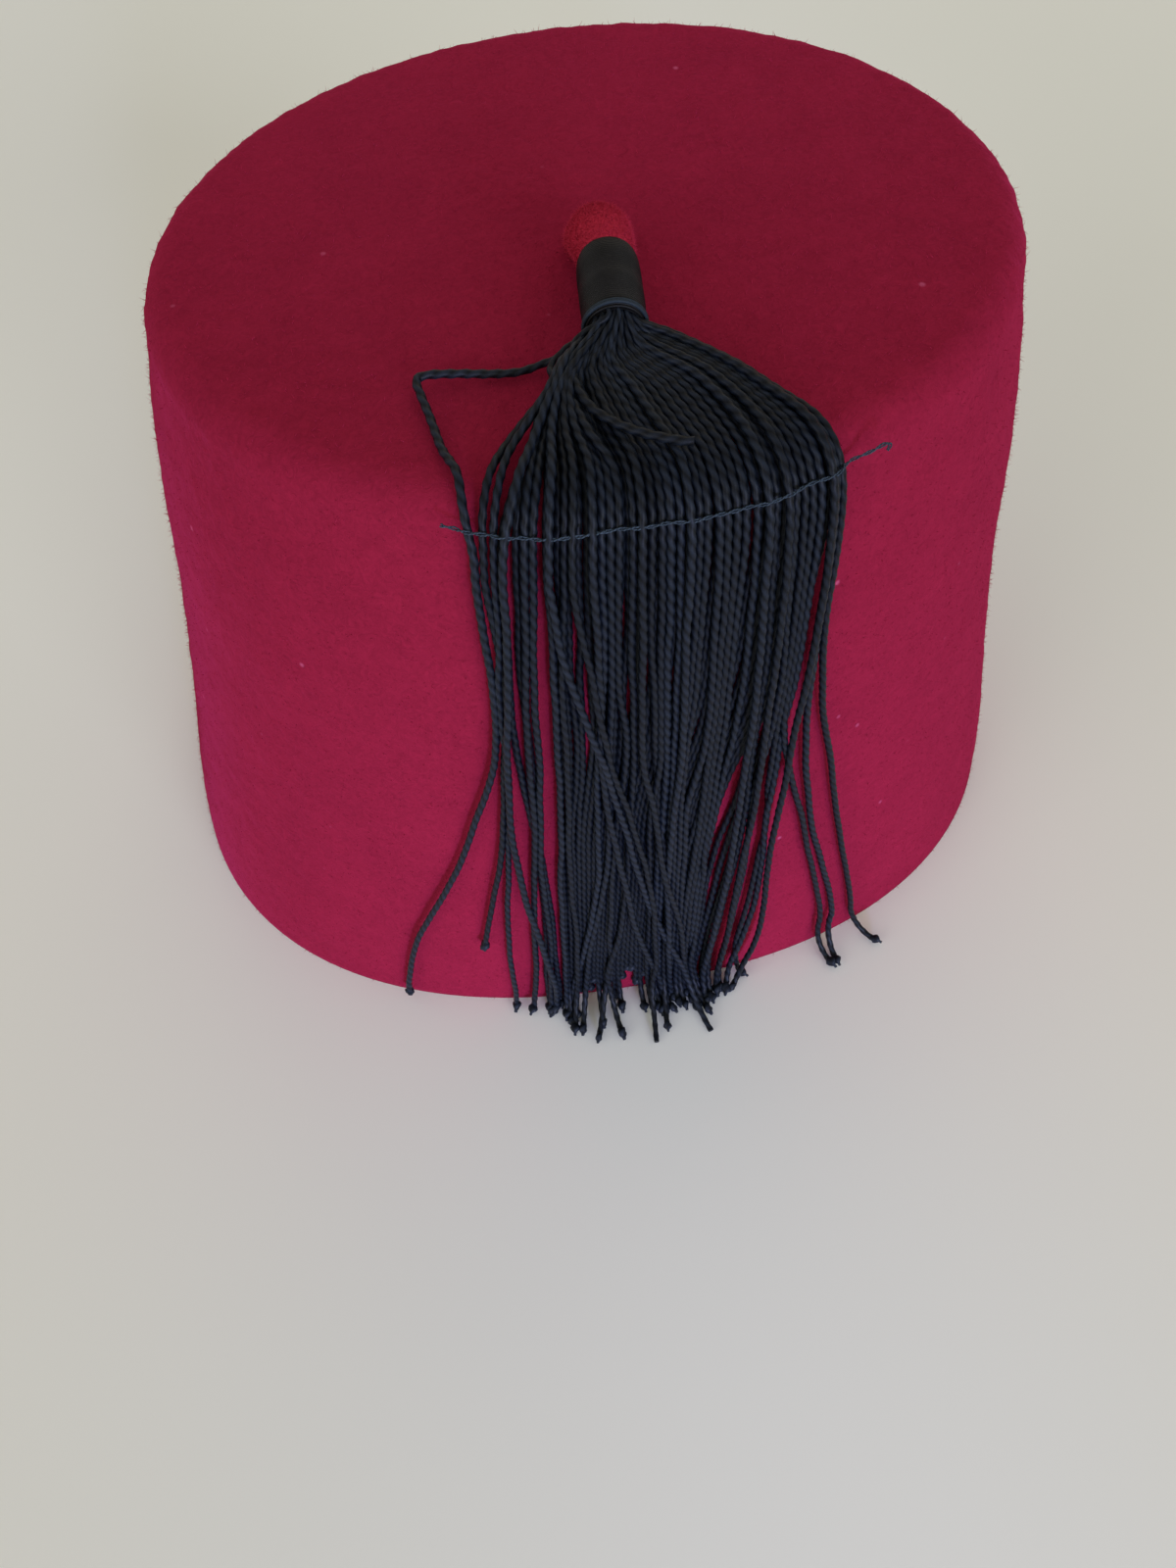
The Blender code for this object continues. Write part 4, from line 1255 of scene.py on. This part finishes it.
class FEZ_OT_binding(bpy.types.Operator):
    """Winds the thread round the tassel's head"""

    bl_idname = "fez.binding"
    bl_label = "Binding"

    def execute(self, context):
        settings = context.scene.fez_tassel
        thread = binding_material(settings)
        seat = head_place()
        winding = grown("binding_thread", head_core(), wound_thread, {
            "Barrel Radius": HEAD_RADIUS - THREAD_INSET, "Length": HEAD_LENGTH - 2 * END_GAP,
            "Turns": float(settings.winding_turns), "Material": thread})
        winding.data.transform(seat @ Matrix.Translation((0, 0, END_GAP)))
        lash = grown("mouth_lash", head_core(), wound_thread, {
            "Barrel Radius": HEAD_RADIUS - LASH_INSET, "Length": 1.1 * MM, "Turns": 2.6,
            "Thread Diameter": 0.55 * MM, "Material": stitch_material(settings)})
        lash.data.transform(seat @ Matrix.Translation((0, 0, LASH_SEAT)) @ Matrix.Rotation(LASH_TILT, 4, "X"))
        core = piece("binding_core", head_core(), thread)
        core.data.transform(seat)
        finish_piece(winding, "bound_thread", "tassel_head")
        finish_piece(lash, "bound_thread")
        finish_piece(core, "bound_thread")
        return {"FINISHED"}


class FEZ_OT_tassel(bpy.types.Operator):
    """Lays the tassel's cords, ties their ends and runs the stitched thread across the fan"""

    bl_idname = "fez.tassel"
    bl_label = "Tassel"

    def execute(self, context):
        settings = context.scene.fez_tassel
        routes = cord_routes(settings)
        settle(routes, settings.cord_diameter)
        material = cord_material(settings)
        front = len(FRONT_CORDS)
        # The cords behind get tones only up to 0.2: painted shade where they lie under the front cords
        locks = (("cords_left", routes[:front // 2], 1.0), ("cords_right", routes[front // 2:front], 1.0),
                 ("cords_behind", routes[front:], 0.2))
        for number, (name, part, painted_shade_cap) in enumerate(locks):
            cords = grown(name, route_mesh(name, part, number, painted_shade_cap), twisted_cords, {
                "Diameter": settings.cord_diameter, "Turn Length": settings.turn_length,
                "Material": material})
            press_on_floor(cords)
            finish_piece(cords, "twisted_cord", "tassel_fringe")
        self.tie_ends(routes, material)
        thread = grown("stitch_thread", route_mesh("stitch", stitch_routes(routes), 9), twisted_cords, {
            "Diameter": 0.34 * MM, "Turn Length": 1.2 * MM, "Rings A Turn": 4.0, "Groove": 0.8,
            "Sides": 4, "Material": stitch_material(settings)})
        finish_piece(thread, "twisted_cord")
        return {"FINISHED"}

    def tie_ends(self, routes, material):
        knot = piece("knot_model", knot_mesh())
        tied = [route[0] for number, route in enumerate(routes[:-1]) if number not in PLAIN_TIPS]
        places = np.array([points[-1] for points in tied])
        ways = np.array([points[-1] - points[-3] for points in tied])
        ways[:, 2] = np.where(places[:, 2] < LYING_HEIGHT, 0.0, ways[:, 2])
        places[:, 2] = np.maximum(places[:, 2], KNOT_HEIGHT)
        ends = bpy.data.meshes.new("cord_ends")
        ends.from_pydata([tuple(place) for place in places], [], [])
        ends.attributes.new("way", "FLOAT_VECTOR", "POINT").data.foreach_set("vector", ways.ravel())
        knots = grown("cord_knots", ends, end_knots, {"Knot": knot, "Material": material})
        bpy.data.objects.remove(knot)
        press_on_floor(knots)
        finish_piece(knots, "twisted_cord")


class FEZ_OT_stage(bpy.types.Operator):
    """Sets the pale floor, the soft light and the camera"""

    bl_idname = "fez.stage"
    bl_label = "Stage"

    def execute(self, context):
        settings = context.scene.fez_stage
        self.lay_floor(settings.floor_colour)
        self.hang_lights(context, settings)
        self.place_camera(context)
        return {"FINISHED"}

    def lay_floor(self, colour):
        corners = [(FLOOR_HALF * x, FLOOR_HALF * y, 0) for x, y in ((-1, -1), (1, -1), (1, 1), (-1, 1))]
        mesh = bpy.data.meshes.new("floor")
        mesh.from_pydata(corners, [], [(0, 1, 2, 3)])
        material = bpy.data.materials.new("pale table")
        material.use_nodes = True
        tree = material.node_tree
        shader = tree.nodes["Principled BSDF"]
        cloud = put(tree, "ShaderNodeTexNoise", {"Vector": object_coordinates(tree), "Scale": 5.0})
        mixed = put(tree, "ShaderNodeMix", {
            0: cloud, 6: (*times(colour, 0.98), 1.0), 7: (*times(colour, 1.02), 1.0)}, data_type="RGBA")
        tree.links.new(mixed.outputs[2], shader.inputs["Base Color"])
        shader.inputs["Roughness"].default_value = 0.7
        shader.inputs["Specular IOR Level"].default_value = 0.15
        piece("floor", mesh, material)

    def hang_lights(self, context, settings):
        world = bpy.data.worlds.new("room")
        world.use_nodes = True
        sky = world.node_tree.nodes["Background"]
        sky.inputs["Color"].default_value = ROOM_COLOUR
        sky.inputs["Strength"].default_value = settings.sky_strength
        context.scene.world = world
        for name, place, spread, share, colour in BROAD_LIGHTS:
            light = self.hang(context, name, "SUN", place, (0.0, 0.0, 0.0), colour)
            light.angle = radians(spread)
            light.energy = settings.window_strength * share
        low = self.hang(context, "low", "SPOT", SPOT_PLACE, SPOT_TARGET, SPOT_COLOUR)
        low.energy = settings.low_power
        low.spot_size = radians(SPOT_SPREAD)
        low.spot_blend = 1.0
        low.shadow_soft_size = SPOT_SOFTNESS

    def hang(self, context, name, kind, place, target, colour):
        light = bpy.data.lights.new(name, kind)
        light.color = colour
        lamp = bpy.data.objects.new(name, light)
        lamp.location = place
        lamp.rotation_mode = "QUATERNION"
        lamp.rotation_quaternion = (Vector(target) - Vector(place)).to_track_quat("-Z", "Y")
        context.scene.collection.objects.link(lamp)
        return light

    def place_camera(self, context):
        data = bpy.data.cameras.new("camera")
        data.sensor_width = CAMERA_SENSOR
        data.lens = CAMERA_LENS
        data.clip_start = 0.01
        camera = bpy.data.objects.new("camera", data)
        azimuth, pitch, roll = radians(CAMERA_AZIMUTH), radians(CAMERA_PITCH), radians(CAMERA_ROLL)
        ahead = Vector((sin(azimuth) * cos(pitch), cos(azimuth) * cos(pitch), -sin(pitch)))
        level = Vector((cos(azimuth), -sin(azimuth), 0))
        right = level * cos(roll) + level.cross(ahead) * sin(roll)
        turn = Matrix((right, right.cross(ahead), -ahead)).transposed()
        camera.matrix_world = Matrix.Translation(CAMERA_PLACE) @ turn.to_4x4()
        context.scene.collection.objects.link(camera)
        context.scene.camera = camera
        context.scene.view_settings.view_transform = "Standard"


class FEZ_PT_panel(bpy.types.Panel):
    """Lists the steps and their sizes"""

    bl_idname = "FEZ_PT_panel"
    bl_label = "Fez hat"
    bl_space_type = "VIEW_3D"
    bl_region_type = "UI"
    bl_category = "Fez"

    def draw(self, context):
        for settings, steps in ((context.scene.fez_crown, (FEZ_OT_crown, FEZ_OT_stem)),
                                (context.scene.fez_tassel, (FEZ_OT_binding, FEZ_OT_tassel)),
                                (context.scene.fez_stage, (FEZ_OT_stage,))):
            box = self.layout.box()
            for name in settings.bl_rna.properties.keys():
                if name not in ("rna_type", "name"):
                    box.prop(settings, name)
            for step in steps:
                box.operator(step.bl_idname)


SETTINGS = (
    ("fez_crown", FezCrownSettings),
    ("fez_tassel", FezTasselSettings),
    ("fez_stage", FezStageSettings),
)
CLASSES = (FEZ_OT_crown, FEZ_OT_stem, FEZ_OT_binding, FEZ_OT_tassel, FEZ_OT_stage, FEZ_PT_panel)


def register():
    for name, settings in SETTINGS:
        bpy.utils.register_class(settings)
        setattr(bpy.types.Scene, name, PointerProperty(type=settings))
    for item in CLASSES:
        bpy.utils.register_class(item)


def unregister():
    for item in reversed(CLASSES):
        bpy.utils.unregister_class(item)
    for name, settings in reversed(SETTINGS):
        delattr(bpy.types.Scene, name)
        bpy.utils.unregister_class(settings)


def main():
    register()
    bpy.ops.fez.stage()
    bpy.ops.fez.crown()
    bpy.ops.fez.stem()
    bpy.ops.fez.binding()
    bpy.ops.fez.tassel()


if __name__ == "__main__":
    main()
